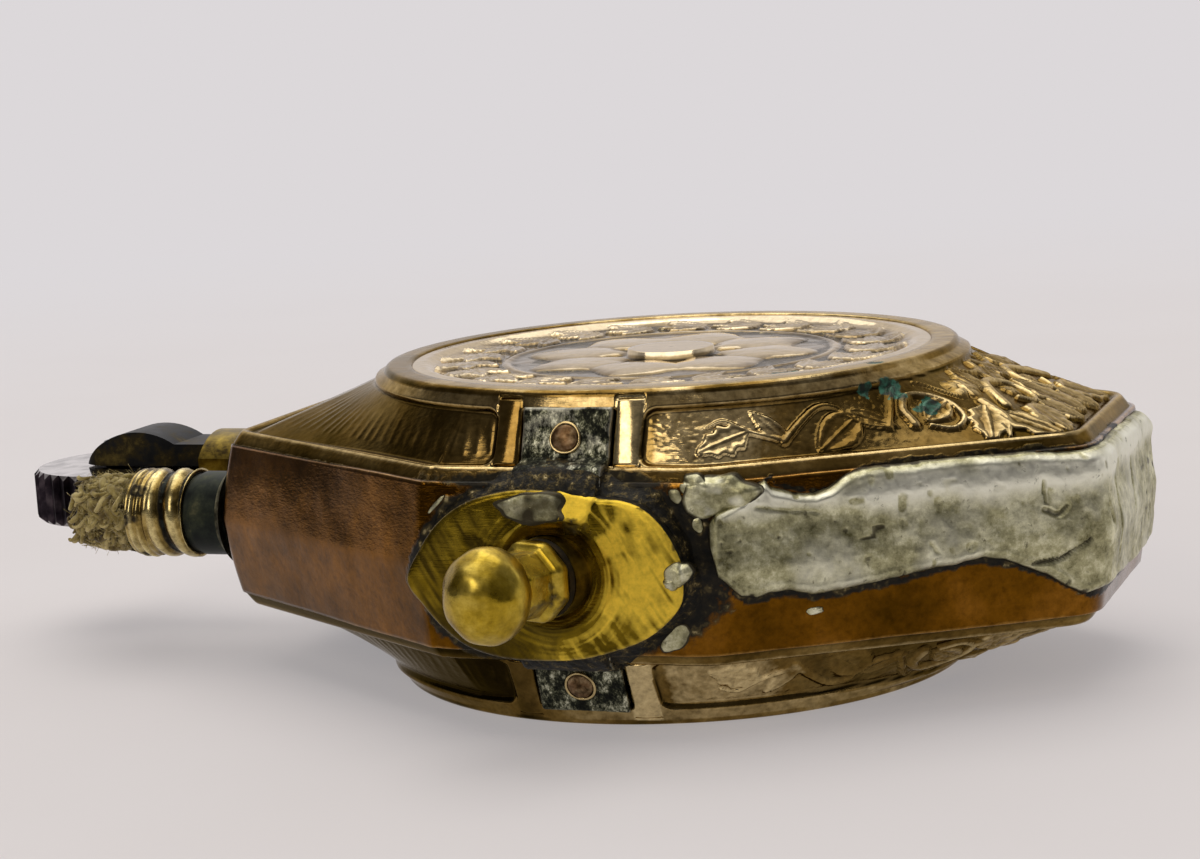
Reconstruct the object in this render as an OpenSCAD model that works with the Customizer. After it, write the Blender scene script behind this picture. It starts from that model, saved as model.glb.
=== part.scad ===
// Trench lighter: a hollow eight-sided case with two stamped faces and a folded edge band,
// patched with solder, a ball-headed filler plug on one long side, and a wick tube beside
// a flint tube whose wheel turns in a forged fork.
// Millimetres. The case lies on its rear face: the origin is the centre of that face, +Z
// goes up to the front face and +X from the flint wheel to the base of the case.

/* [Case] */
// Length of the case over its two end facets
case_l = 52; // [48:0.5:60]
// Width of the case over its two long sides
case_w = 38.4; // [37.6:0.2:44]
// Thickness of the case from face rim to face rim
case_h = 17.8; // [16:0.2:22]
// Length of each flat long side
side_flat = 15.6; // [13:0.2:18]
// Width of each flat end facet
end_flat = 14.7; // [13.6:0.1:17]
// Height of the edge band between the two border lines
band_h = 9.1; // [8.6:0.1:10]
// How far the middle ridge stands out from the edges of the band
ridge_out = 0.56; // [0.2:0.02:0.8]
// Length of the rounding on each side of a corner of the case
corner_cut = 1.3; // [0.4:0.1:2]
// Thickness of the stamped sheet
sheet = 0.5; // [0.35:0.05:0.6]

/* [Stamped faces] */
// Outer diameter of the round rim on each face
rim_d = 32.8; // [29:0.2:33]
// Width of the polished rim
rim_w = 1.7; // [1:0.1:2.4]
// Depth of the field inside the rim
field_depth = 0.45; // [0.2:0.05:0.6]
// Diameter of the flat button at the centre of each field
button_d = 5; // [3:0.5:8]
// Height of the stepped border above the band
border_h = 0.55; // [0.3:0.05:0.8]
// Width of the stepped border
border_w = 0.85; // [0.6:0.05:1.1]
// Depth of the bevel panels below their frame
panel_depth = 0.35; // [0.1:0.05:0.5]
// Clear width of the channel between the two ribs on each long side
channel_w = 5.1; // [4:0.1:6]
// Width of each rib
rib_w = 1.4; // [0.8:0.1:1.8]

/* [Strap and filler] */
// Width of the steel strap
strap_w = 4.9; // [3.6:0.1:5]
// Thickness of the steel strap
strap_t = 0.4; // [0.3:0.05:0.6]
// Diameter of the strap's rivet heads
rivet_head_d = 1.6; // [1.2:0.1:2]
// Diameter of the brass ring round each rivet head
rivet_ring_d = 2.1; // [1.9:0.1:2.6]
// Length of the oval filler plate
plate_l = 15.2; // [13:0.2:15.4]
// Height of the oval filler plate
plate_h = 8.9; // [7.5:0.1:9]
// Thickness of the filler plate
plate_t = 1; // [0.7:0.1:1.3]
// How far the filler plug leans towards the wheel end, in degrees
plug_lean = 18; // [0:1:20]
// Outer diameter of the threaded bush
bush_d = 4.2; // [3.8:0.1:4.6]
// Length of the bush
bush_l = 5.1; // [4:0.1:7]
// Diameter of the plug's threaded shank
shank_d = 2.8; // [2.2:0.1:3]
// Thread pitch of the filler plug
plug_pitch = 0.5; // [0.4:0.05:0.6]
// Number of turns that free the filler plug
plug_turns = 8; // [6:0.5:9]
// Thickness of the leather washer
washer_t = 0.4; // [0.3:0.05:0.8]
// Width of the plug's neck across its flats
neck_d = 3.6; // [3.2:0.1:4]
// Length of the plug's neck
neck_l = 2.2; // [1.6:0.1:3]
// Diameter of the plug's ball
ball_d = 4.4; // [4.2:0.1:6]

/* [Solder] */
// Thickness of the solder patch
patch_t = 0.65; // [0.3:0.05:1]
// Height of the solder fillets round the two tubes
fillet_h = 0.5; // [0.3:0.1:0.8]
// Diameter of the largest blob of stray solder
blob_d = 1.5; // [1:0.1:2]

/* [Wick] */
// Height of both tubes above the rest plane
tube_z = 8.7; // [8.2:0.1:9.6]
// Distance of the wick tube from the middle plane, towards the filler side
wick_y = 4.4; // [4.3:0.1:4.6]
// Outer diameter of the wick tube
neck_tube_d = 5; // [4.6:0.1:5.2]
// Bore of the wick tube
neck_bore_d = 4.2; // [3.6:0.1:4.2]
// Length of bare wick tube outside the case
neck_out = 2.2; // [2:0.1:6]
// Length of the threaded brass ferrule
ferrule_l = 4.4; // [3.2:0.1:5.6]
// Pitch of the ferrule's thread
ferrule_pitch = 1.05; // [0.8:0.05:1.3]
// Diameter over the ferrule's thread
ferrule_d = 5.4; // [5.3:0.05:5.8]
// Diameter of the wick
wick_d = 4.1; // [3.4:0.1:4.1]
// Length of wick outside its ferrule
wick_out = 4.6; // [2:0.1:6]

/* [Flint and wheel] */
// Distance of the flint tube from the middle plane, away from the filler side
flint_y = 3.3; // [3.2:0.1:3.8]
// Outer diameter of the flint tube
flint_tube_d = 3.6; // [3.4:0.1:4]
// Bore of the flint tube
flint_bore_d = 2.7; // [2.4:0.1:2.9]
// Diameter of the striker wheel
wheel_d = 10.6; // [9:0.2:10.8]
// Thickness of the striker wheel
wheel_t = 3.2; // [2.8:0.1:3.6]
// Number of teeth on the striker wheel
teeth = 36; // [24:1:48]
// Depth of the wheel's teeth
tooth_depth = 0.35; // [0.2:0.05:0.5]
// Distance from the case to the wheel's axle
axle_out = 12.8; // [12.4:0.1:15]
// Diameter of the axle pin
axle_d = 1.6; // [1.2:0.1:2]
// Thickness of the flat part of each fork cheek
cheek_t = 1.38; // [1:0.02:1.8]
// Radius of the forged hump on each cheek
hump_r = 4.9; // [4.4:0.1:6]
// Height of the hump above the flat part of the cheek
hump_h = 0.75; // [0.3:0.05:1]
// Radius of the rounded tip of each cheek
tip_r = 1.9; // [1.5:0.1:2.4]
// Gap between the wheel and each cheek
cheek_gap = 0.12; // [0.05:0.01:0.3]
// Diameter of the brass fork block
block_d = 7.5; // [7.3:0.1:8.4]
// Width of the brass fork block over its flats
block_w = 5.8; // [5:0.1:6.2]
// Length of the brass fork block along the flint tube
block_l = 2.2; // [1.6:0.1:3]
// Distance from the case to the fork block
block_out = 3.2; // [2:0.1:3.6]
// Depth of the mortises that hold the cheeks in the block
mortise = 1; // [0.6:0.1:1.2]
// Diameter of the flint
flint_d = 2.6; // [2.3:0.1:2.6]
// Length of the flint
flint_l = 4.6; // [2:0.1:6]
// Wire diameter of the flint spring
spring_wire = 0.35; // [0.25:0.05:0.45]
// Number of coils of the flint spring
spring_coils = 9; // [6:1:12]
// Pitch of the flint spring
spring_pitch = 1; // [0.85:0.05:1.3]

/* [Fits] */
// Radial clearance of parts that turn or slide in a bore
running_gap = 0.05; // [0.02:0.01:0.1]
// Clearance between parts that are soldered or riveted together
seat_gap = 0.02; // [0.01:0.01:0.05]

/* [Hidden] */
$fn = 48;
half_l = case_l / 2;
half_w = case_w / 2;
mid_z = case_h / 2;
band_top = mid_z + band_h / 2;
band_wall_in = ridge_out + sheet + 0.24;
seat_in = ridge_out + 0.2;
border_in = seat_in + border_w;
border_top = band_top + border_h;
lip_in = band_wall_in + 0.05;
lip_depth = 0.75;
lip_t = 0.5;
rim_r = rim_d / 2;
rim_round = 0.35;
channel_edge = channel_w / 2 - 0.1;
rib_flank = 0.2;
panel_top = 0.93;
edge_parts = 5;
end_parts = 4;

strap_bend = 0.36;
ring_clear = 0.12;
rivet_l = 1.6;
rivet_d = 0.9;
rivet_dome = 0.22;
ring_t = 0.1;

plate_back = half_w + strap_t + 0.05;
plate_sag = ridge_out * plate_h / band_h - 0.07;
plate_bend_r = plate_h * plate_h / (8 * plate_sag) + plate_sag / 2;
plate_face = plate_back + plate_t;
plate_axis_y = plate_back - plate_bend_r;
dish_r = 9;
dish_depth = 0.45;
bush_top = 0.6;
shank_l = plug_turns * plug_pitch + 0.2;
shank_bore_r = shank_d / 2 + running_gap;
ball_z = bush_top + washer_t + neck_l + ball_d / 2 - 0.35;

tube_x = -half_l;
tube_in = 4;
turned_d = neck_tube_d - 0.3;
ferrule_x = tube_x - neck_out;
ferrule_end = ferrule_x - ferrule_l;
tube_end = ferrule_end + 0.1;
wick_tip = ferrule_end - wick_out;
wick_in = 12;

axle_x = tube_x - axle_out;
wheel_r = wheel_d / 2;
cheek_low = wheel_t / 2 + cheek_gap;
hump_x = axle_x + 2.6;
hump_z = cheek_low + cheek_t + hump_h - hump_r;
block_x = tube_x - block_out;
head_d = 2.4;
head_h = 0.45;
head_z = cheek_low + 0.95;
flint_gap = 0.06;
flint_tip = axle_x + wheel_r + flint_gap;
mouth_x = flint_tip + 0.45;
plunger_head = 1.2;
plunger_tail = 2.4;
spring_x = flint_tip + flint_l + plunger_head;
spring_l = spring_coils * spring_pitch;
spring_r = flint_bore_d / 2 - 0.2 - spring_wire / 2;
cap_x = spring_x + spring_l + spring_wire;
cap_l = 1.5;
flint_tube_end = cap_x + cap_l;

wadding_x = tube_x + wick_in + 0.5;
wadding_gap = 0.3;

brass = "#a98f3a";
copper = "#7a4a22";
steel = "#33383a";
solder = "#9d9c85";

function mix(a, b, t) = a + (b - a) * t;
function total(v, i = 0) = i == len(v) - 1 ? v[i] : v[i] + total(v, i + 1);
function centre(loop) = total(loop) / len(loop);

// The eight corners of the case outline, moved inwards by d, counter-clockwise
function corners(d) =
    let(
        nx = half_w - end_flat / 2,
        ny = half_l - side_flat / 2,
        c = nx * side_flat / 2 + ny * half_w - d * norm([nx, ny]),
        a = half_l - d,
        b = half_w - d,
        x = (c - ny * b) / nx,
        y = (c - nx * a) / ny
    )
    [[a, -y], [a, y], [x, b], [-x, b], [-a, y], [-a, -y], [-x, -b], [x, -b]];

// Places across a long side where the ribs start and stop
rib_x = [
    channel_edge, channel_edge + rib_flank,
    channel_edge + rib_w, channel_edge + rib_w + rib_flank
];
side_x = concat([for (i = [3:-1:0]) -rib_x[i]], rib_x);

// Points inside one edge of the outline: rib places on a long side, even steps elsewhere
function edge_points(a, b, i) =
    i == 2 ? [for (x = side_x) [-x, a.y]] :
    i == 6 ? [for (x = side_x) [x, a.y]] :
    let(n = i % 2 == 1 ? edge_parts : end_parts)
    [for (k = [1:n - 1]) mix(a, b, k / n)];

// The case outline moved inwards by d, with its corners rounded
function outline(d) =
    let(
        c = corners(d),
        before = [for (i = [0:7]) c[i] + corner_cut * unit(c[(i + 7) % 8] - c[i])],
        after = [for (i = [0:7]) c[i] + corner_cut * unit(c[(i + 1) % 8] - c[i])]
    )
    [for (i = [0:7]) each concat(
        [before[i], (before[i] + 2 * c[i] + after[i]) / 4, after[i]],
        edge_points(after[i], before[(i + 1) % 8], i)
    )];
function unit(v) = v / norm(v);

base_outline = outline(0);
function lift(loop, z) = [for (p = loop) [p.x, p.y, z]];
function octagon_row(d, z) = lift(outline(d), z);
function by_channel(p) = abs(p.y) > half_w - 0.01 && abs(p.x) < rib_x[3] + 0.01;
// A circle with a point for each point of the outline, straight above it beside a channel
function round_row(r, z) = lift([for (p = base_outline)
    by_channel(p) ? [p.x, sign(p.y) * sqrt(r * r - p.x * p.x)] : r * unit(p)], z);
function on_rib(p) =
    by_channel(p) && abs(p.x) > rib_x[1] - 0.01 && abs(p.x) < rib_x[2] + 0.01;

// A row of the bevel between border and rim, t from 0 to 1, pushed in by depth off the ribs
function bevel_row(t, depth, all_of_it = false) =
    let(low = octagon_row(border_in, border_top), high = round_row(rim_r, case_h - rim_round))
    [for (i = [0:len(low) - 1])
        let(
            slope = high[i] - low[i],
            run = norm([slope.x, slope.y]),
            out = -[slope.x, slope.y] / run,
            up = [out.x * slope.z, out.y * slope.z, run] / norm(slope),
            push = all_of_it || !on_rib(base_outline[i]) ? depth : 0
        )
        mix(low[i], high[i], t) - push * up];

// A closed solid through a list of loops with as many points each
module skin(rows, ring = false) {
    n = len(rows[0]);
    m = len(rows);
    points = concat([for (r = rows) each r], [centre(rows[0]), centre(rows[m - 1])]);
    sides = [for (i = [0:m - (ring ? 1 : 2)], j = [0:n - 1])
        let(
            k = (i + 1) % m,
            a = i * n + j,
            b = i * n + (j + 1) % n,
            c = k * n + (j + 1) % n,
            d = k * n + j
        )
        each [[a, d, c], [a, c, b]]];
    caps = ring ? [] : [for (j = [0:n - 1])
        let(k = (j + 1) % n, last = (m - 1) * n)
        each [[m * n, j, k], [m * n + 1, last + k, last + j]]];
    polyhedron(points, concat(sides, caps), convexity = 8);
}

// Places its child along the X axis of the frame, local +Z towards +X
module along_x(x, y, z) {
    translate([x, y, z]) rotate([0, 90, 0]) children();
}
module at_wick(x) {
    along_x(x, -wick_y, tube_z) children();
}
module at_flint(x) {
    along_x(x, flint_y, tube_z) children();
}
module at_axle() {
    translate([axle_x, flint_y, tube_z]) children();
}
// The filler's axis: local +Z points out of the case, leaning towards the wheel end
module at_plug() {
    translate([0, -(plate_face - dish_depth), mid_z]) rotate([0, 0, -plug_lean])
        rotate([90, 0, 0]) children();
}
module bush_hole() {
    at_plug() translate([0, 0, -bush_l]) cylinder(r = bush_d / 2 + seat_gap, h = 2 * bush_l);
}
module both_faces() {
    children();
    translate([0, 0, case_h]) mirror([0, 0, 1]) children();
}

// Case

function band_inset(z) = ridge_out * abs(z - mid_z) / (band_h / 2);

module edge_band() {
    low = case_h - band_top;
    outer = [for (z = [low, mid_z - 0.7, mid_z, mid_z + 0.7, band_top])
        octagon_row(z == mid_z ? 0.04 : band_inset(z), z)];
    inner = [
        octagon_row(band_wall_in, band_top),
        octagon_row(band_wall_in, band_top - lip_depth - 0.2),
        octagon_row(sheet + 0.1, mid_z),
        octagon_row(band_wall_in, low + lip_depth + 0.2),
        octagon_row(band_wall_in, low)
    ];
    color(copper) difference() {
        skin(concat(outer, inner), ring = true);
        at_wick(tube_x - 1) cylinder(r = neck_tube_d / 2 + seat_gap, h = 4);
        at_flint(tube_x - 1) cylinder(r = flint_tube_d / 2 + seat_gap, h = 4);
        bush_hole();
    }
}

module stamped_shell() {
    wall = panel_depth + sheet;
    top = case_h;
    floor_z = top - field_depth;
    field_r = rim_r - rim_w;
    skin([
        round_row(field_r - 0.9, floor_z - sheet),
        bevel_row(1, wall, true),
        bevel_row(0.25, wall, true),
        octagon_row(lip_in + lip_t, band_top - lip_depth),
        octagon_row(lip_in, band_top - lip_depth),
        octagon_row(lip_in, band_top),
        octagon_row(seat_in, band_top),
        octagon_row(seat_in + 0.1, border_top - 0.15),
        octagon_row(seat_in + 0.4, border_top - 0.3),
        bevel_row(0, 0),
        bevel_row(0.06, panel_depth),
        bevel_row(0.5, panel_depth),
        bevel_row(panel_top, panel_depth),
        bevel_row(1, 0),
        round_row(rim_r - 0.1, top - 0.1),
        round_row(rim_r - rim_round, top),
        round_row(field_r + 0.15, top),
        round_row(field_r, floor_z)
    ]);
    translate([0, 0, floor_z - sheet / 2]) cylinder(d = button_d, h = field_depth + sheet / 2);
}

// The bevel's foot and head at the middle of the near long side, and its lean
bevel_foot = [-(half_w - border_in), border_top];
bevel_head = [-rim_r, case_h - rim_round];
bevel_up = unit(bevel_head - bevel_foot);
bevel_lean = atan2(bevel_up.x, bevel_up.y);
bevel_out = [-bevel_up.y, bevel_up.x];

// A rivet's axis on the near upper bevel, its seat on the strap's outer face just above
// the strap's bend over the border
module at_rivet() {
    seat = bevel_foot + bevel_up * (strap_bend + rivet_ring_d / 2 + ring_clear)
        + bevel_out * (strap_t - panel_depth + seat_gap);
    translate([0, seat.x, seat.y]) rotate([90 - bevel_lean, 0, 0]) children();
}

module rivet_holes() {
    both_faces() at_rivet() translate([0, 0, -rivet_l - 0.3])
        cylinder(r = rivet_d / 2 + seat_gap, h = rivet_l + 1);
}

module front_shell() {
    color(copper) difference() {
        stamped_shell();
        rivet_holes();
    }
}

module back_shell() {
    color(copper) difference() {
        translate([0, 0, case_h]) mirror([0, 0, 1]) stamped_shell();
        rivet_holes();
    }
}

// Strap and filler

// A path in the Y-Z plane and the same path moved out by t
function normals(path) = [for (i = [0:len(path) - 1])
    let(
        a = path[max(i - 1, 0)],
        b = path[min(i + 1, len(path) - 1)],
        e = unit(b - a)
    )
    [e.y, -e.x]];
function thick(path, t) =
    let(n = normals(path), last = len(path) - 1)
    concat(path, [for (i = [last:-1:0]) path[i] + t * n[i]]);

module steel_strap() {
    gap = seat_gap;
    upper = [
        mix(bevel_foot, bevel_head, panel_top - 0.06) - bevel_out * (panel_depth - gap),
        bevel_foot + bevel_up * strap_bend - bevel_out * (panel_depth - gap),
        [-(half_w - border_in) - 0.1, border_top + gap],
        [-(half_w - seat_in) - 0.06, border_top - 0.1],
        [-(half_w - ridge_out) - 0.05, band_top]
    ];
    ridge = [[-half_w - gap, mid_z]];
    lower = [for (i = [len(upper) - 1:-1:0]) [upper[i].x, case_h - upper[i].y]];
    color(steel) difference() {
        rotate([90, 0, 90]) linear_extrude(strap_w, center = true)
            polygon(thick(concat(upper, ridge, lower), strap_t));
        rivet_holes();
        bush_hole();
    }
}

// A shallow dome of diameter d and height h, flat side on z = 0
module dome(d, h) {
    r = (d * d / 4 + h * h) / (2 * h);
    rotate_extrude() intersection() {
        translate([0, h - r]) circle(r, $fn = 96);
        square([d / 2, h]);
    }
}

module strap_rivets() {
    color("#8a5540") both_faces() at_rivet() {
        translate([0, 0, seat_gap]) dome(rivet_head_d, rivet_dome);
        translate([0, 0, -rivet_l]) cylinder(d = rivet_d, h = rivet_l + seat_gap);
    }
}

module rivet_rings() {
    color(brass) both_faces() at_rivet() translate([0, 0, seat_gap]) difference() {
        cylinder(d = rivet_ring_d, h = ring_t);
        translate([0, 0, -1]) cylinder(d = rivet_head_d + 2 * seat_gap, h = 2);
    }
}

// Outline of the filler plate: an oval, blunt at the right and drawn out at the left
module plate_outline() {
    polygon([for (a = [0:7.5:352.5])
        let(c = cos(a), power = c > 0 ? 0.85 : 1.12)
        [plate_l / 2 * sign(c) * pow(abs(c), power), plate_h / 2 * sin(a)]]);
}

module filler_plate() {
    color(brass) difference() {
        intersection() {
            translate([0, 0, mid_z]) rotate([90, 0, 0])
                linear_extrude(plate_face + 1) plate_outline();
            along_x(-plate_l, -plate_axis_y, mid_z) difference() {
                cylinder(r = plate_bend_r + plate_t, h = 2 * plate_l, $fn = 160);
                translate([0, 0, -1])
                    cylinder(r = plate_bend_r, h = 2 * plate_l + 2, $fn = 160);
            }
        }
        translate([0, -(plate_face - dish_depth + dish_r), mid_z]) sphere(dish_r, $fn = 96);
        bush_hole();
    }
}

module filler_bush() {
    color(brass) at_plug() translate([0, 0, bush_top - bush_l]) difference() {
        cylinder(d = bush_d, h = bush_l);
        translate([0, 0, -1]) cylinder(r = shank_bore_r, h = bush_l + 2);
    }
}

module filler_washer() {
    color("#4a3524") at_plug() translate([0, 0, bush_top]) difference() {
        cylinder(d = bush_d - 0.1, h = washer_t);
        translate([0, 0, -1]) cylinder(r = shank_bore_r, h = washer_t + 2);
    }
}

module filler_plug() {
    seat = bush_top + washer_t;
    color(brass) at_plug() {
        translate([0, 0, seat - shank_l]) cylinder(d = shank_d, h = shank_l + 0.1);
        translate([0, 0, seat]) rotate(22.5)
            cylinder(d = neck_d / cos(22.5), h = neck_l + 0.3, $fn = 8);
        translate([0, 0, ball_z]) sphere(d = ball_d);
    }
}

// Solder

// Stations of the patch: place along the side (0 to 1 on the slanted facet, 1 to 2 on the
// base facet), then how far the solder runs below and above the ridge, as a share of the
// way to the edge of the band
patch_edges = [
    [0.02, 0.11, 0.57], [0.05, 0.26, 0.77], [0.12, 0.4, 0.9], [0.2, 0.33, 0.92],
    [0.26, 0.37, 0.81], [0.31, 0.44, 0.79], [0.37, 0.35, 0.97], [0.48, 0.33, 0.99],
    [0.6, 0.24, 1], [0.7, 0.2, 0.99], [0.8, 0.33, 0.97], [0.88, 0.53, 0.95],
    [0.96, 0.75, 0.92], [1.04, 0.92, 0.95], [1.5, 0.95, 0.97], [1.93, 0.9, 0.95],
    [1.98, 0.57, 0.66]
];
patch_round = 0.35;

// A point on the band's outer face at place u and height z, moved out by off
function band_point(u, z, off) =
    let(
        c = corners(band_inset(z) - off),
        p = u < 1 ? mix(c[7], c[0], u) : mix(c[0], c[1], u - 1)
    )
    [p.x, p.y, z];

function patch_section(s) =
    let(low = mid_z - s[1] * band_h / 2, high = mid_z + s[2] * band_h / 2)
    [
        band_point(s[0], low, seat_gap),
        band_point(s[0], low + patch_round, patch_t),
        band_point(s[0], mid_z, patch_t),
        band_point(s[0], mix(mid_z, high, 0.5), patch_t + 0.05),
        band_point(s[0], high - patch_round, patch_t),
        band_point(s[0], high, seat_gap),
        band_point(s[0], mid_z, seat_gap)
    ];

module solder_patch() {
    color(solder) skin([for (s = patch_edges) patch_section(s)]);
}

// Places its child on the near side of the band, local +Z out of the metal
module on_side(x, rise) {
    lean = atan(ridge_out / (band_h / 2)) * sign(rise);
    translate([x, -(half_w - band_inset(mid_z + rise)) - seat_gap, mid_z + rise])
        rotate([90 - lean, 0, 0]) children();
}

// Blobs by the base end of the near side: distance from its corner in blob diameters, rise
// as a share of the half band, then diameter and height in blob diameters
blobs = [[0.2, 0.2, 1, 0.33], [1.2, -0.77, 0.93, 0.2], [0.27, 0.81, 0.8, 0.2]];

module solder_blobs() {
    color(solder) for (b = blobs)
        on_side(side_flat / 2 - b[0] * blob_d, b[1] * band_h / 2)
            dome(b[2] * blob_d, b[3] * blob_d);
}

module fillet(d) {
    rotate_extrude() difference() {
        translate([d / 2 + seat_gap, 0]) square([fillet_h, fillet_h]);
        translate([d / 2 + fillet_h + seat_gap, fillet_h]) circle(fillet_h);
    }
}

module tube_fillets() {
    color(solder) {
        at_wick(tube_x - seat_gap) rotate([180, 0, 0]) fillet(neck_tube_d);
        at_flint(tube_x - seat_gap) rotate([180, 0, 0]) fillet(flint_tube_d);
    }
}

// Wick

module wick_tube() {
    color(steel) difference() {
        union() {
            at_wick(ferrule_x) cylinder(d = neck_tube_d, h = tube_x + tube_in - ferrule_x);
            at_wick(tube_end) cylinder(d = turned_d, h = ferrule_x - tube_end + 1);
        }
        at_wick(tube_end - 1) cylinder(d = neck_bore_d, h = tube_x + tube_in - tube_end + 2);
    }
}

module wick_ferrule() {
    root = ferrule_d / 2 - 0.16;
    turns = floor((ferrule_l - 0.4) / ferrule_pitch);
    steps = 6;
    land = (ferrule_l - turns * ferrule_pitch) / 2;
    crests = [for (i = [0:turns * steps])
        [root + 0.16 * (1 - cos(360 * i / steps)) / 2, land + i * ferrule_pitch / steps]];
    color(brass) at_wick(ferrule_end) rotate_extrude() polygon(concat(
        [[turned_d / 2 + seat_gap, 0], [root - 0.06, 0], [root, 0.1]],
        crests,
        [[root, ferrule_l], [turned_d / 2 + seat_gap, ferrule_l]]
    ));
}

module wick() {
    color("#a39455") {
        at_wick(wick_tip + 1) cylinder(d = wick_d, h = tube_x + wick_in - wick_tip - 1);
        at_wick(wick_tip + 1) rotate([180, 0, 0]) dome(wick_d, 1);
    }
}

module wadding() {
    low = wadding_gap + sheet + field_depth;
    block = [
        octagon_row(border_in + 1.6, mid_z - band_h / 2 + 0.5),
        octagon_row(border_in + 1.6, mid_z + band_h / 2 - 0.5),
        round_row(rim_r - rim_w - 1.4, case_h - low)
    ];
    color("#c9c2ae") difference() {
        skin(concat([round_row(rim_r - rim_w - 1.4, low)], block));
        translate([wadding_x - case_l, -case_w, -1]) cube([case_l, 2 * case_w, case_h + 2]);
        at_flint(tube_x) cylinder(r = flint_tube_d / 2 + wadding_gap,
            h = flint_tube_end - tube_x + wadding_gap);
        at_plug() translate([0, 0, bush_top - bush_l - wadding_gap])
            cylinder(r = bush_d / 2 + wadding_gap, h = 2 * bush_l);
        both_faces() at_rivet() translate([0, 0, -rivet_l - wadding_gap])
            cylinder(r = rivet_d / 2 + wadding_gap, h = rivet_l);
    }
}

// Flint and wheel

// Two flats on the mouth of the tube seat the cheeks of the fork
module flint_tube() {
    flat = cheek_low - seat_gap;
    mouth_l = block_x - block_l + mortise + seat_gap - mouth_x;
    color(brass) at_flint(mouth_x) difference() {
        cylinder(d = flint_tube_d, h = flint_tube_end - mouth_x);
        translate([0, 0, -1]) cylinder(d = flint_bore_d, h = flint_tube_end - mouth_x + 2);
        for (s = [0, 1]) mirror([s, 0, 0])
            translate([flat, -flint_tube_d, -1]) cube([2, 2 * flint_tube_d, mouth_l + 1]);
    }
}

module tube_cap() {
    color(brass) at_flint(cap_x) cylinder(d = flint_bore_d - 2 * seat_gap, h = cap_l);
}

spring_sides = 6;
spring_steps = 12;
function spring_point(i) =
    let(a = 360 * i / spring_steps)
    [spring_r * cos(a), spring_r * sin(a), spring_wire / 2 + seat_gap
        + i * (spring_l - 2 * seat_gap) / (spring_coils * spring_steps)];
function spring_loop(i) =
    let(p = spring_point(i), a = 360 * i / spring_steps)
    [for (k = [0:spring_sides - 1])
        let(b = 360 * k / spring_sides, out = spring_wire / 2 * cos(b))
        p + [out * cos(a), out * sin(a), spring_wire / 2 * sin(b)]];
spring_gap = min([for (i = [0:(spring_coils - 1) * spring_steps])
    norm(spring_point(i + spring_steps) - spring_point(i)) - spring_wire]);
echo(spring_gap = spring_gap);

module flint_spring() {
    color("#8c8f92") at_flint(spring_x)
        skin([for (i = [0:spring_coils * spring_steps]) spring_loop(i)]);
}

module flint_plunger() {
    color(brass) at_flint(spring_x) {
        translate([0, 0, -plunger_head]) cylinder(r = flint_bore_d / 2 - running_gap, h = plunger_head);
        translate([0, 0, -0.1])
            cylinder(r = spring_r - spring_wire / 2 - 0.15, h = plunger_tail + 0.1);
    }
}

module flint() {
    color("#4d4a48") difference() {
        at_flint(flint_tip - 1) cylinder(d = flint_d, h = flint_l + 1);
        at_axle() cylinder(r = wheel_r + flint_gap, h = 2 * wheel_t, center = true, $fn = 96);
    }
}

module cheek() {
    neck_x = block_x - block_l;
    root_x = neck_x + mortise;
    difference() {
        intersection() {
            translate([0, flint_y + 10, tube_z]) rotate([90, 0, 0]) linear_extrude(20) {
                translate([hump_x, cheek_low]) square([root_x - hump_x, cheek_t]);
                intersection() {
                    translate([hump_x, hump_z]) circle(hump_r, $fn = 120);
                    translate([hump_x - hump_r, cheek_low]) square([2 * hump_r, hump_r]);
                }
            }
            translate([0, flint_y, tube_z]) linear_extrude(10) {
                translate([axle_x, 0]) circle(tip_r);
                translate([axle_x, -tip_r]) square([root_x - axle_x, 2 * tip_r]);
            }
        }
        at_axle() cylinder(r = axle_d / 2 + seat_gap, h = 10);
        at_axle() translate([0, 0, head_z]) cylinder(r = head_d / 2 + 0.1, h = 5);
    }
}

module upper_cheek() {
    color(steel) cheek();
}
module lower_cheek() {
    color(steel) translate([0, 0, 2 * tube_z]) mirror([0, 0, 1]) cheek();
}

module fork_block() {
    color(brass) difference() {
        at_flint(block_x - block_l) intersection() {
            cylinder(d = block_d, h = block_l);
            translate([-block_d, -block_w / 2, -1]) cube([2 * block_d, block_w, block_l + 2]);
        }
        at_flint(block_x - block_l - 1) cylinder(r = flint_tube_d / 2 + seat_gap, h = block_l + 2);
        for (s = [1, -1])
            translate([block_x - block_l - 1, flint_y - tip_r - seat_gap,
                tube_z + s * (cheek_low + cheek_t / 2) - cheek_t / 2 - seat_gap])
                cube([mortise + 1 + seat_gap, 2 * (tip_r + seat_gap), cheek_t + 2 * seat_gap]);
    }
}

module wheel_axle() {
    color("#5b5f60") at_axle() {
        cylinder(d = axle_d, h = 2 * head_z + 2 * head_h - 0.2, center = true);
        for (s = [0, 1]) mirror([0, 0, s]) translate([0, 0, head_z]) dome(head_d, head_h);
    }
}

// Saw teeth round the wheel's rim
module toothed_disc() {
    step = 360 / teeth;
    polygon([for (i = [0:teeth - 1]) each [
        wheel_r * [cos(i * step), sin(i * step)],
        (wheel_r - tooth_depth) * [cos((i + 0.2) * step), sin((i + 0.2) * step)]
    ]]);
}

module striker_wheel() {
    bevel = 0.3;
    color("#3a3d40") at_axle() difference() {
        intersection() {
            linear_extrude(wheel_t, center = true) toothed_disc();
            rotate_extrude($fn = 96) polygon([
                [0, -wheel_t / 2], [wheel_r - bevel, -wheel_t / 2],
                [wheel_r + 0.01, -wheel_t / 2 + bevel], [wheel_r + 0.01, wheel_t / 2 - bevel],
                [wheel_r - bevel, wheel_t / 2], [0, wheel_t / 2]
            ]);
        }
        cylinder(r = axle_d / 2 + running_gap, h = wheel_t + 2, center = true);
    }
}

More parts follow.
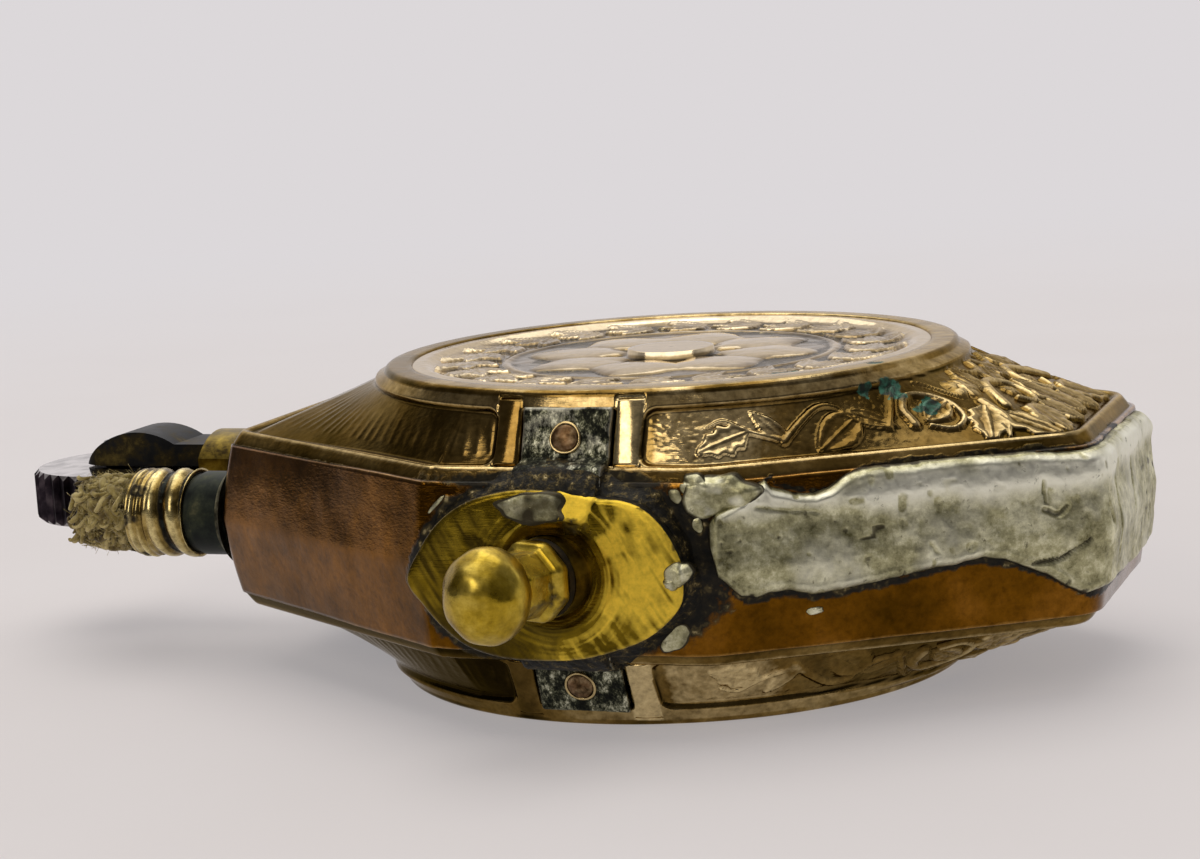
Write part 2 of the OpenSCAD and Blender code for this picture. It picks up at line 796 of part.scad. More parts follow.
edge_band();
front_shell();
back_shell();
steel_strap();
strap_rivets();
rivet_rings();
filler_plate();
filler_bush();
filler_washer();
filler_plug();
solder_patch();
solder_blobs();
tube_fillets();
wick_tube();
wick_ferrule();
wick();
wadding();
flint_tube();
tube_cap();
flint_spring();
flint_plunger();
flint();
fork_block();
upper_cheek();
lower_cheek();
wheel_axle();
striker_wheel();
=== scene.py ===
# %% [markdown]
# # Trench lighter
# A pocket petrol lighter of tombac, the copper-rich brass of cheap metalware: a hollow
# eight-sided case with two stamped faces, patched with solder. The CAD model holds its sizes
# and moving parts. This lesson gives each piece its worn surface, as real geometry where an
# edge would catch the light, and as shader nodes where the mark is finer than that.

# %% Load the CAD model
import math

import bpy
import numpy as np
from mathutils import Matrix
from mathutils.bvhtree import BVHTree


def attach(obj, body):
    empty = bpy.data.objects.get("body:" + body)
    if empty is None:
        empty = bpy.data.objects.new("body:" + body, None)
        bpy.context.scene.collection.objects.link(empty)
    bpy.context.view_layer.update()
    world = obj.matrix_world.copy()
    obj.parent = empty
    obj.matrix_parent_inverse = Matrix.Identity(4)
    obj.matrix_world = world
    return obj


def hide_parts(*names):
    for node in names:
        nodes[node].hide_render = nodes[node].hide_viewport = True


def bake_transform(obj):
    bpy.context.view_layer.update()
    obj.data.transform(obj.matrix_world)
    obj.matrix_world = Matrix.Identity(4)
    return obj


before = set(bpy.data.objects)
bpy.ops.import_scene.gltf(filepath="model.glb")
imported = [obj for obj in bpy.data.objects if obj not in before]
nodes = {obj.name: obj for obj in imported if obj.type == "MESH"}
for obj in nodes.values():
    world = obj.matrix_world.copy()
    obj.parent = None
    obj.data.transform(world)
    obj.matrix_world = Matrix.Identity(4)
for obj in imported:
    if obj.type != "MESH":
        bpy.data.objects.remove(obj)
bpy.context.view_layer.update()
print("CAD nodes:", len(nodes))

# %% [markdown]
# ## Sizes
# All sizes are in millimetres, as on the drawing, and become metres when a mesh is made.
# They repeat the CAD model's values, so that each new surface lies where its solid lies.

# %% Sizes of the case
HALF_L, HALF_W, CASE_H = 26.0, 19.2, 17.8  # half length, half depth, height
MID_Z = CASE_H / 2
SIDE_FLAT, END_FLAT = 15.6, 14.7  # the octagon's long sides and its ends
CORNER_CUT, WHEEL_CUT = 1.3, 0.7  # bend of a corner, and of one at the wheel end
BAND_H, RIDGE_OUT, SHEET = 9.1, 0.56, 0.5  # edge band, its ridge, thickness of the sheet
BAND_TOP = MID_Z + BAND_H / 2
BORDER_IN, BORDER_TOP = 1.61, 14.0  # foot of the bevel: in from the side, and height
RIM_R, RIM_W, RIM_ROUND, FIELD_DEPTH = 16.4, 1.7, 0.35, 0.45
FIELD_R = RIM_R - RIM_W
PANEL_DEPTH, CHANNEL_HALF, RIB_OUT = 0.35, 2.45, 4.05  # the ribs lie from 2.45 to 4.05
STRAP_HALF, STRAP_T = 2.45, 0.4
MM = 0.001
print("case in mm:", 2 * HALF_L, 2 * HALF_W, CASE_H)

# %% [markdown]
# ## Random marks that stay the same
# Old metal is never even, so nearly every surface gets some slow waviness and some fine
# roughness. A lattice of hashed random numbers, blended smoothly, gives the same value at the
# same place on every run, which a plain random number would not.

# %% Noise, smooth steps and small vector helpers
def noise(points, size, seed=0):
    """A smooth value from -1 to 1 at each point that varies over about size mm."""
    q = np.asarray(points, float).reshape(-1, 3) / size + 500.0
    cell = np.floor(q).astype(np.int64)
    f = q - cell
    f = f * f * (3 - 2 * f)
    total = np.zeros(len(q))
    # Large primes and two rounds of scrambling give each corner of the lattice cell a value
    # that looks random, and the nearer corners weigh more.
    for corner in np.ndindex(2, 2, 2):
        c = cell + corner
        weight = np.prod(np.where(corner, f, 1 - f), axis=1)
        h = (c[:, 0] * 73856093) ^ (c[:, 1] * 19349663) ^ (c[:, 2] * 83492791) ^ (seed * 40503)
        h = ((h & 0xFFFFFF) * 1103515245 + 12345) & 0x7FFFFFFF
        h = ((h ^ (h >> 15)) * 2246822) & 0x7FFFFFFF
        total += weight * ((h >> 8 & 0xFFFF) / 32767.5 - 1)
    return total.reshape(np.shape(points)[:-1])


def rough(points, size, seed=0, layers=3):
    """Noise with finer noise added on top, as worn or cast metal has. Dividing by 1.7 keeps
    three layers near -1 to 1."""
    return sum(noise(points, size / 2 ** i, seed + i) / 2 ** i for i in range(layers)) / 1.7


def layers(points, *parts):
    """Noise of several sizes at once, each part as (height, size, seed)."""
    return sum(tall * noise(points, size, seed) for tall, size, seed in parts)


def step(low, high, x):
    """0 at low, 1 at high and a soft slope between, which falls if high is below low."""
    x = np.clip((np.asarray(x, float) - low) / (high - low), 0, 1)
    return x * x * (3 - 2 * x)


def mix(a, b, t):
    return a + (b - a) * t


def unit(v):
    v = np.asarray(v, float)
    return v / np.linalg.norm(v, axis=-1, keepdims=True)


def curve(points, parts=8, loop=False):
    """A smooth line through the points, as a bent spline would run."""
    p = np.asarray(points, float)
    if loop:
        p = np.vstack([p[-1], p, p[0], p[1]])
    else:
        p = np.vstack([2 * p[0] - p[1], p, 2 * p[-1] - p[-2]])
    out = []
    for a, b, c, d in zip(p, p[1:], p[2:], p[3:]):
        for t in np.arange(parts) / parts:
            out.append(0.5 * (2 * b + (c - a) * t + (2 * a - 5 * b + 4 * c - d) * t ** 2
                              + (3 * b - a - 3 * c + d) * t ** 3))
    return np.array(out if loop else out + [p[-2]])


print("noise at two places:", noise([[0, 0, 0], [1, 2, 3]], 2).round(3))

# %% [markdown]
# ## From a grid of points to a piece
# Most surfaces here are grids: rows of points that follow a profile, one after the other.
# Joining each point to its neighbours gives clean quads, and a fan closes each end, so every
# piece is a closed solid that could be printed. Values such as wear or grime are kept on the
# mesh as attributes, and the materials read them.

# %% Faces of a grid and the finished piece
def grid_faces(rows, cols, ring=True, loop=False):
    """Quads between rows of points. ring joins the ends of each row, loop the first and last."""
    i, j = np.meshgrid(np.arange(rows if loop else rows - 1),
                       np.arange(cols if ring else cols - 1), indexing="ij")
    i, j = i.ravel(), j.ravel()
    k, l = (i + 1) % rows, (j + 1) % cols
    return np.stack([i * cols + j, i * cols + l, k * cols + l, k * cols + j], 1)


def closed_grid(grid):
    """Points and faces of a ring grid whose first and last row are closed by fans."""
    rows, cols = grid.shape[:2]
    points = np.vstack([grid.reshape(-1, 3), grid[0].mean(0), grid[-1].mean(0)])
    faces = grid_faces(rows, cols).tolist()
    j = np.arange(cols)
    k = (j + 1) % cols
    last = (rows - 1) * cols
    faces += np.stack([k, j, np.full(cols, rows * cols)], 1).tolist()
    faces += np.stack([last + j, last + k, np.full(cols, rows * cols + 1)], 1).tolist()
    return points, faces


def looped_grid(grid):
    """Points and faces of a ring grid whose last row joins the first, as a bent tube does."""
    return grid.reshape(-1, 3), grid_faces(*grid.shape[:2], loop=True)


def mesh_object(name, points, faces, finish):
    """A smooth-shaded mesh object from points in mm."""
    mesh = bpy.data.meshes.new(name)
    mesh.from_pydata((np.asarray(points) * MM).tolist(), [], [list(f) for f in faces])
    mesh.polygons.foreach_set("use_smooth", np.ones(len(mesh.polygons), bool))
    mesh.materials.append(finish)
    thing = bpy.data.objects.new(name, mesh)
    bpy.context.scene.collection.objects.link(thing)
    return thing


def piece(name, points, faces, finish, slot, body="case", replaces=(), values=None):
    """Makes a piece with its attributes, hangs it on the body that it rides on and hides the CAD
    parts that it stands for. A piece that bends between two bodies has no body of its own."""
    thing = mesh_object(name, points, faces, finish)
    mesh = thing.data
    for key, value in (values or {}).items():
        full = np.zeros(len(mesh.vertices), np.float32)
        value = np.ravel(value)
        full[:len(value)] = value
        mesh.attributes.new(key, "FLOAT", "POINT").data.foreach_set("value", full)
    if body:
        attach(thing, body)
    if replaces:
        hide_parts(*replaces)
    print(f"{name}: {len(mesh.vertices)} points")
    return thing


def grid_normals(grid):
    """The outward direction at each point of a ring grid whose rows climb the surface."""
    across = np.roll(grid, -1, 1) - np.roll(grid, 1, 1)
    up = np.gradient(grid, axis=0)
    return unit(np.cross(across, up))


print("faces of a grid of 3 by 4:", len(closed_grid(np.zeros((3, 4, 3)))[1]))

# %% [markdown]
# ## Helpers for materials
# Colours are written as they look on screen and turned into the linear values that the
# renderer adds up. One function adds a node. Pattern sizes are given in millimetres: the
# meshes lie in metres, so a feature of s mm needs a texture scale of 1000 / s.

# %% Colour, scale and node helpers
def linear(colour):
    """The renderer's value of a colour written as an sRGB hex number."""
    parts = [int(colour[i:i + 2], 16) / 255 for i in (1, 3, 5)]
    return tuple(p / 12.92 if p <= 0.04045 else ((p + 0.055) / 1.055) ** 2.4
                 for p in parts) + (1.0,)


def per_mm(size):
    return 1000.0 / size


def feed(tree, node, inputs):
    """Sets a node's inputs. A value that is a socket is linked, and so is another node's
    first output that its settings leave in use."""
    for key, value in inputs.items():
        if isinstance(value, bpy.types.Node):
            value = next(socket for socket in value.outputs if socket.enabled)
        if isinstance(value, bpy.types.NodeSocket):
            tree.links.new(value, node.inputs[key])
        else:
            node.inputs[key].default_value = value


def add(tree, kind, inputs=None, stops=(), **settings):
    """Adds a node. stops are the colours of a ramp, as (place, hex colour)."""
    new = tree.nodes.new("ShaderNode" + kind)
    for key, value in settings.items():
        setattr(new, key, value)
    if stops:
        ramp = new.color_ramp.elements
        while len(ramp) < len(stops):
            ramp.new(0.5)
        for element, (place, colour) in zip(ramp, stops):
            element.position = place
            element.color = linear(colour)
    feed(tree, new, inputs or {})
    return new


def start(name, **shader):
    """A new material, its node tree, its shader and the place on the object."""
    material = bpy.data.materials.new(name)
    material.use_nodes = True
    tree = material.node_tree
    main = tree.nodes["Principled BSDF"]
    for key, value in shader.items():
        main.inputs[key.replace("_", " ")].default_value = value
    place = add(tree, "TexCoord").outputs["Object"]
    return material, tree, main, place


print("mid grey in linear light:", round(linear("#808080")[0], 3))

# %% [markdown]
# ## Tombac, stamped and handled
# Tombac is about nine parts copper to one of zinc. Pocket wear leaves a thin brown oxide
# that is still metallic, darker in the hollows and rubbed to yellow on the high spots. It is
# a metal shader whose colour follows three things: slow patina clouds, the relief that the
# mesh carries as an attribute, and dirt near the filler plate. One flat colour would look
# painted, and a picture of brass would not follow the leaves.

# %% Patina, rubbed spots and tarnish
def rubbed_patina(tree, place, patina, rubbed, hollow, cloud_mm, spotted):
    """The metal's colour, and the clouds, flecks and rubbed places that gloss needs too."""
    cloud = add(tree, "TexNoise", {"Vector": place, "Scale": per_mm(cloud_mm), "Detail": 6.0,
                                   "Roughness": 0.6})
    shade = add(tree, "ValToRGB", {"Fac": cloud}, stops=patina)
    # Hollows keep their thick oxide. A relief of 0 is plain, 1 rubbed and -1 a hollow.
    relief = add(tree, "Attribute", attribute_name="relief").outputs["Fac"]
    low = add(tree, "MapRange", {"Value": relief, "From Min": -0.1, "From Max": -0.85})
    shade = add(tree, "Mix", {0: low, 6: shade, 7: linear(hollow)}, data_type="RGBA")
    # High spots are rubbed bright. Flecks of 0.9 mm fray the edge of each rubbed place.
    fleck = add(tree, "TexNoise", {"Vector": place, "Scale": per_mm(0.9), "Detail": 4.0})
    worn = add(tree, "Math", {0: fleck, 1: 0.5, 2: relief}, operation="MULTIPLY_ADD")
    worn = add(tree, "MapRange", {"Value": worn, "From Min": 0.4, "From Max": 1.05})
    shade = add(tree, "Mix", {0: worn, 6: shade, 7: linear(rubbed)}, data_type="RGBA")
    # Tarnish spots are 0.1 mm and less, drawn at 0.45 mm so that they show.
    spot = add(tree, "TexNoise", {"Vector": place, "Scale": per_mm(0.45), "Detail": 5.0,
                                  "Roughness": 0.7})
    tarnish = add(tree, "ValToRGB", {"Fac": spot},
                  stops=[(0.32, "#6e6a60"), (0.5, "#d2d0c8"), (0.68, "#ffffff")])
    shade = add(tree, "Mix", {0: spotted, 6: shade, 7: tarnish}, data_type="RGBA",
                blend_type="MULTIPLY")
    return shade, cloud, fleck, worn


print("texture scale of the tarnish spots:", round(per_mm(0.45)))

# %% [markdown]
# Dirt and verdigris lie on top of the metal where an attribute of the mesh asks for them.
# Both are crumbly, so one noise pattern of half a millimetre breaks up their edge and gives
# them light and dark grains. A hard mask would look like spilt paint.

# %% Dirt and verdigris over a metal
SOIL = [(0.38, "#0b0a05"), (0.56, "#201b0e"), (0.66, "#4c4226"), (0.75, "#a3946a")]
SALT = [(0.4, "#051a13"), (0.5, "#0c3225"), (0.66, "#2f6b57")]


def soiled(tree, place, shade):
    """The colour under its dirt and salts, the crumbly pattern and how far each covers."""
    crumbs = add(tree, "TexNoise", {"Vector": place, "Scale": per_mm(0.5), "Detail": 5.0})
    covers = []
    for attribute, gain, first, full, stops in (("grime", 1.3, 0.85, 1.15, SOIL),
                                                ("verdigris", 1.2, 0.95, 1.1, SALT)):
        amount = add(tree, "Attribute", attribute_name=attribute).outputs["Fac"]
        cover = add(tree, "Math", {0: amount, 1: gain, 2: crumbs}, operation="MULTIPLY_ADD")
        cover = add(tree, "MapRange", {"Value": cover, "From Min": first, "From Max": full})
        tone = add(tree, "ValToRGB", {"Fac": crumbs}, stops=stops)
        shade = add(tree, "Mix", {0: cover, 6: shade, 7: tone}, data_type="RGBA")
        covers.append(cover)
    return shade, crumbs, *covers


print("colours:", len(SOIL), "of dirt,", len(SALT), "of salts")

# %% [markdown]
# Gloss makes the metal: it drifts with the clouds, and dirt dulls it. Fine scratches are a
# noise pattern that is stretched along one direction. A real one is 0.05 mm wide, drawn here
# at 0.25 mm so that it shows.

# %% A worn metal
def worn_metal(name, patina, rubbed, hollow, cloud_mm=5, shine=(0.2, 0.34), depth=0.03,
               scraped=0.0, wax=0.0, spotted=1.0, rim="#ffffff"):
    """A metal in wear. patina, rubbed and hollow are its colours, shine the roughness of its
    darkest and lightest clouds, depth that of the scratches in mm, scraped the roughness that
    rubbing adds, wax the film from hands, and rim the colour of grazing reflections, which
    an oxide film keeps from turning white."""
    material, tree, main, place = start(name, Metallic=1.0)
    shade, cloud, fleck, worn = rubbed_patina(tree, place, patina, rubbed, hollow, cloud_mm,
                                              spotted)
    shade, crumbs, dirt, bloom = soiled(tree, place, shade)
    # Dirt still holds brass dust, salts hold none.
    metal = add(tree, "MapRange", {"Value": dirt, "To Min": 1.0, "To Max": 0.7})
    metal = add(tree, "Math", {0: bloom, 1: -0.7, 2: metal}, operation="MULTIPLY_ADD")
    haze = add(tree, "MapRange", {"Value": cloud, "From Min": 0.3, "From Max": 0.7,
                                  "To Min": shine[0], "To Max": shine[1]})
    dull = add(tree, "Math", {0: dirt, 1: bloom}, operation="MAXIMUM")
    for what, roughness in ((dull, 0.3), (worn, scraped)):
        haze = add(tree, "Math", {0: what, 1: roughness, 2: haze}, operation="MULTIPLY_ADD")
    lines = add(tree, "Mapping", {"Vector": place, "Rotation": (0.3, 0.2, 0.6),
                                  "Scale": (0.25, 3.0, 3.0)})
    scratch = add(tree, "TexNoise", {"Vector": lines, "Scale": per_mm(0.5), "Detail": 3.0,
                                     "Roughness": 0.7})
    marks = add(tree, "Math", {0: fleck, 1: scratch}, operation="ADD")
    grit = add(tree, "Math", {0: dirt, 1: crumbs}, operation="MULTIPLY")
    marks = add(tree, "Math", {0: grit, 1: 5.0, 2: marks}, operation="MULTIPLY_ADD")
    bump = add(tree, "Bump", {"Strength": 0.35, "Distance": depth * MM, "Height": marks})
    feed(tree, main, {"Base Color": shade, "Metallic": metal, "Roughness": haze, "Normal": bump,
                      "Coat Weight": wax, "Coat Roughness": 0.12, "Specular Tint": linear(rim)})
    return material


# Stamped tombac looks brown and satin, with yellow on all that stands up.
stamped_tombac = worn_metal(
    "stamped_tombac", [(0.3, "#483710"), (0.5, "#7b6130"), (0.7, "#a08650")], "#e6ce98",
    "#231a07", shine=(0.07, 0.17), spotted=0.55, rim="#dcd2c0")
# The field inside the rim is rubbed by the pocket until it mirrors the room, paler and
# smoother than the bevels.
rubbed_tombac = worn_metal(
    "rubbed_tombac", [(0.3, "#54452a"), (0.5, "#836f4c"), (0.7, "#a5916a")], "#e0cfae",
    "#1d140a", shine=(0.04, 0.1), depth=0.01, wax=0.15, spotted=0.35, rim="#ece5da")
# The band is held by the fingers, so it is redder and has long soft reflections.
handled_tombac = worn_metal(
    "handled_tombac", [(0.3, "#4a3004"), (0.5, "#6f480c"), (0.7, "#8f5f1e")], "#c4964c",
    "#2b1c04", shine=(0.09, 0.17), spotted=0.5)
print("finishes:", stamped_tombac.name, rubbed_tombac.name, handled_tombac.name)

# %% [markdown]
# ## The eight-sided outline
# The case is an octagon with rounded corners, and the stamped face climbs from it to a round
# rim. Every row of the face has the same columns: each column belongs to one side of the
# octagon and a share of the way along it. Near the strap the columns keep straight up
# instead of turning towards the centre, so that the ribs stay parallel.

# %% Corners and columns
# The sides count from the base end over the far side and the wheel end to the near side. The
# odd ones are slanted, and sides with much ornament have more columns.
BASE_END, FAR_SIDE, WHEEL_END, NEAR_SIDE, NEAR_BASE = 0, 2, 4, 6, 7
COLUMNS_EACH = (122, 136, 110, 136, 92, 167, 160, 210)


def corner(index, inset):
    """Corners of the octagon moved in by inset; both may be arrays."""
    nx, ny = HALF_W - END_FLAT / 2, HALF_L - SIDE_FLAT / 2  # direction of a slanted side
    c = nx * SIDE_FLAT / 2 + ny * HALF_W - inset * math.hypot(nx, ny)
    a, b = HALF_L - inset, HALF_W - inset
    x, y = (c - ny * b) / nx, (c - nx * a) / ny
    return np.stack([np.choose(index % 8, [a, a, x, -x, -a, -a, -x, x]),
                     np.choose(index % 8, [-y, y, b, b, y, -y, -b, -b])], -1)


def columns(share=1.0):
    """Side of each column and how far along it the column lies. share thins them out."""
    counts = [max(8, round(n * share)) for n in COLUMNS_EACH]
    side = np.repeat(np.arange(8), counts)
    return side, np.concatenate([np.arange(n) / n for n in counts])


print("columns round the case:", len(columns()[0]))

# %% Rows on the octagon and on a circle
def outline(inset, cols):
    """One point per column on the octagon moved in by inset, with rounded corners."""
    side, u = cols
    inset = inset + np.zeros(np.shape(side))
    a, b = corner(side, inset), corner(side + 1, inset)
    before, after = unit(corner(side - 1, inset) - a), unit(corner(side + 2, inset) - b)
    along = unit(b - a)
    length = np.linalg.norm(b - a, axis=-1)
    run = u * length
    left = length - run
    p = a + along * run[..., None]
    cut = np.where(np.abs(side - WHEEL_END) < 2, WHEEL_CUT, CORNER_CUT)
    for near, tip, t, first, last in (
            (run, a, 0.5 + run / cut / 2, before, along),
            (left, b, 0.5 - left / cut / 2, -along, after)):
        t = np.clip(t, 0, 1)[..., None]
        bent = ((1 - t) ** 2 * (tip + cut[..., None] * first) + 2 * t * (1 - t) * tip
                + t ** 2 * (tip + cut[..., None] * last))
        p = np.where((near < cut)[..., None], bent, p)
    return p


def is_long(side):
    return (side == NEAR_SIDE) | (side == FAR_SIDE)


def circle(r, cols):
    """The same columns on a circle of radius r, straight up from the ribs near the strap."""
    side, u = cols
    q = mix(corner(side, 0.0), corner(side + 1, 0.0), u[:, None])
    p = r * unit(q)
    corner_x = r * SIDE_FLAT / 2 / math.hypot(SIDE_FLAT / 2, HALF_W)
    x = np.abs(q[:, 0])
    x = np.where(x < RIB_OUT, x, RIB_OUT + (x - RIB_OUT) * (corner_x - RIB_OUT)
                 / (SIDE_FLAT / 2 - RIB_OUT)) * np.sign(q[:, 0])
    straight = np.stack([x, np.sign(q[:, 1]) * np.sqrt(np.maximum(r * r - x * x, 0))], 1)
    return np.where(is_long(side)[:, None], straight, p)


def raised(flat, z):
    """Flat points lifted to the height z."""
    return np.column_stack([flat, np.full(len(flat), z)])


print("the octagon is", np.ptp(outline(0, columns()), axis=0).round(2), "mm across")

# %% [markdown]
# ## Stamped ornament
# A steel die pressed leaves, stems and flutes into the sheet. Each motif here is a small
# function that returns how high it stands above the ground at every point: a stroke for
# stems, a leaf with a midrib and teeth, and a flower with petals. The highest motif wins, as
# in a die. The case is the same on its near and far side, so motifs are placed once.

# %% Motifs: stroke, leaf and flower
def stroke(points, path, width, height, ends=0.35):
    """A rounded stem along a path that thins towards its end."""
    path = curve(path)
    share = np.linspace(0, 1, len(path))
    out = np.zeros(len(points))
    near = np.flatnonzero(np.linalg.norm(points - path.mean(0), axis=1)
                          < np.linalg.norm(path - path.mean(0), axis=1).max() + width)
    for a, b, s in zip(path, path[1:], share):
        w = width * mix(1, ends, s)
        q, d = points[near] - a, b - a
        t = np.clip(q @ d / max(d @ d, 1e-9), 0, 1)
        r = np.linalg.norm(q - t[:, None] * d, axis=1) / w
        out[near] = np.maximum(out[near], height * np.sqrt(np.clip(1 - r * r, 0, 1)))
    return out


def leaf(points, base, tip, up, half_width, height, teeth=0):
    """A leaf with a midrib, side veins and, if teeth is set, a toothed edge."""
    base, tip = np.asarray(base, float), np.asarray(tip, float)
    length = np.linalg.norm(tip - base)
    axis = (tip - base) / length
    side = unit(np.cross(up, axis))
    q = points - base
    a, s = q @ axis / length, q @ side
    inside = (a > 0) & (a < 1) & (np.abs(q @ unit(up)) < 1.2)
    a = np.clip(a, 0.001, 0.999)
    edge = half_width * np.sin(math.pi * a ** 0.75) ** 0.8
    if teeth:
        edge = edge * (1 - 0.13 * (1 + np.sin(2 * math.pi * a * teeth)))
    r = np.abs(s) / np.maximum(edge, 1e-4)
    body = height * np.sqrt(np.clip(1 - r ** 5, 0, 1)) * mix(0.55, 1, step(0.35, 0.85, r))
    vein = 0.5 + 0.5 * np.cos(2 * math.pi * (a * max(teeth, 4) - np.abs(s) / half_width * 0.8))
    body = body * (0.94 + 0.06 * vein) + 0.25 * height * step(0.1, 0.02, np.abs(s)) * (r < 0.8)
    return np.where(inside & (r < 1), body, 0)


def flower(points, centre, up, radius, height, petals=5):
    """A small flower: rounded petals with grooves between them and a raised eye."""
    up = unit(up)
    east = unit(np.cross(up, [0.1, 0.3, 1.0]))
    q = points - np.asarray(centre, float)
    x, y = q @ east, q @ np.cross(up, east)
    r = np.hypot(x, y) / radius
    lobe = np.abs(np.cos(petals * np.arctan2(y, x) / 2))
    body = height * np.sqrt(np.clip(1 - (r / (0.62 + 0.38 * lobe ** 0.6)) ** 2, 0, 1))
    body = body * mix(0.6, 1, step(0, 0.35, lobe))
    eye = 1.25 * height * np.sqrt(np.clip(1 - (r / 0.26) ** 2, 0, 1))
    return np.where(np.abs(q @ up) < 1.0, np.maximum(body, eye), 0)


print("a leaf's midrib:", leaf(np.eye(3)[:1] * 3, (0, 0, 0), (6, 0, 0), (0, 0, 1), 1, 0.3))

# %% [markdown]
# ## Where the foliage lies
# Each place is a side of the octagon, a share along it and a share up the bevel. The scroll
# starts in a toothed leaf beside the rib, arches over a larger leaf, curls into a flower and
# ends in broad leaves at the base corner.

# %% Foliage of the bevels
def on_bevel(side, u, t):
    """A place on the front bevel's ground in mm."""
    a = mix(corner(side, BORDER_IN), corner(side + 1, BORDER_IN), u)
    b = RIM_R * unit(mix(corner(side, 0.0), corner(side + 1, 0.0), u))
    return mix(np.array([*a, BORDER_TOP]), np.array([*b, CASE_H - RIM_ROUND]), t)


def bevel_up(side, u):
    """The direction that points out of the bevel."""
    foot, head = on_bevel(side, u, 0), on_bevel(side, u, 1)
    along = on_bevel(side, u + 0.02, 0.5) - on_bevel(side, u - 0.02, 0.5)
    return unit(np.cross(along, head - foot))


# Each stem is a side, places (share along the side, share up the bevel), a width in mm, of
# which the stroke takes 0.65, and a height. Each leaf is a side, a foot, a tip, a half width,
# a height and a number of teeth. Each flower is a side, a place, a radius and a height.
STEMS = [
    (NEAR_BASE, [(0.25, 0.29), (0.16, 0.44), (0.09, 0.62), (0.04, 0.56)], 0.3, 0.2),
    (NEAR_BASE, [(0.24, 0.27), (0.31, 0.54), (0.375, 0.70), (0.43, 0.67), (0.45, 0.52),
                 (0.49, 0.39), (0.55, 0.33)], 0.4, 0.24),
    (NEAR_BASE, [(0.63, 0.34), (0.64, 0.55), (0.70, 0.70), (0.77, 0.68), (0.82, 0.55),
                 (0.80, 0.36), (0.73, 0.24), (0.67, 0.30)], 0.55, 0.3),
    (NEAR_BASE, [(0.55, 0.33), (0.60, 0.56), (0.70, 0.86), (0.82, 0.84), (0.9, 0.62)],
     0.36, 0.2),
    (NEAR_BASE, [(0.95, 0.52), (0.92, 0.30), (0.84, 0.06)], 0.6, 0.26),
    (BASE_END, [(0.02, 0.45), (0.14, 0.60), (0.27, 0.68), (0.39, 0.58), (0.38, 0.42),
                (0.29, 0.36), (0.22, 0.45)], 0.6, 0.32),
    (BASE_END, [(0.03, 0.24), (0.14, 0.34), (0.24, 0.28), (0.21, 0.16)], 0.55, 0.28),
    (BASE_END, [(0.5, 0.94), (0.42, 0.80), (0.3, 0.80), (0.16, 0.90)], 0.5, 0.26),
]
LEAVES = [
    (NEAR_BASE, (0.15, 0.46), (0.0, 0.24), 1.0, 0.24, 4),
    (NEAR_BASE, (0.25, 0.28), (0.17, 0.72), 0.55, 0.22, 0),
    (NEAR_BASE, (0.475, 0.52), (0.32, 0.08), 1.15, 0.28, 0),
    (NEAR_BASE, (0.46, 0.60), (0.58, 0.34), 0.55, 0.2, 0),
    (NEAR_BASE, (0.81, 0.56), (0.67, 0.36), 0.9, 0.28, 0),
    (NEAR_BASE, (0.92, 0.46), (0.78, 0.02), 1.3, 0.32, 4),
    (NEAR_BASE, (0.93, 0.36), (0.99, 0.0), 1.1, 0.3, 3),
    (BASE_END, (0.20, 0.36), (0.05, 0.03), 1.4, 0.34, 4),
    (BASE_END, (0.30, 0.34), (0.34, 0.02), 1.4, 0.34, 4),
    (BASE_END, (0.5, 0.08), (0.5, 0.60), 1.7, 0.34, 5),
    (BASE_END, (0.36, 0.66), (0.5, 0.78), 1.0, 0.28, 3),
    (BASE_END, (0.12, 0.62), (0.17, 0.92), 1.0, 0.28, 3),
]
FLOWERS = [(NEAR_BASE, 0.985, 0.70, 1.15, 0.28), (BASE_END, 0.30, 0.52, 0.7, 0.24),
           (BASE_END, 0.27, 0.93, 0.6, 0.18)]


def foliage(points):
    """Height of the stamped foliage at points of the near half of a bevel."""
    height = np.zeros(len(points))
    for side, path, width, tall in STEMS:
        path = [on_bevel(side, *p) for p in path]
        height = np.maximum(height, stroke(points, path, 0.65 * width, tall))
    for side, base, tip, wide, tall, teeth in LEAVES:
        height = np.maximum(height, leaf(points, on_bevel(side, *base), on_bevel(side, *tip),
                                         bevel_up(side, base[0]), wide, tall, teeth))
    for side, u, t, radius, tall in FLOWERS:
        height = np.maximum(height, flower(points, on_bevel(side, u, t), bevel_up(side, u),
                                           radius, tall))
    return height


print("stems, leaves and flowers:", len(STEMS), len(LEAVES), len(FLOWERS))

# %% [markdown]
# ## The stamped faces
# The face is one loft: a stepped border, the bevel with its sunk panels, ribs on both sides
# of the strap's channel, and the polished rim. A subdivision surface would round off the
# crisp steps of the die, so the rows are placed where the profile turns and the height of
# the ornament is added along the surface's own direction. The die's depths come first:
# panels with soft corners and a plain frame, the strap's channel, and feathered flutes.

# %% Depths of the die
FRAME_FOOT, FRAME_HEAD = 0.03, 0.55  # plain strips below and above a panel
PANEL_CORNER, PANEL_SLOPE = 0.8, 0.34  # radius of its corners, width of its sloping edge
FLUTE_APART, FLUTE_TALL = 0.78, 0.034
FOLIAGE_FROM = 3.9  # the leaves begin this far to the right of the middle, flutes to the left


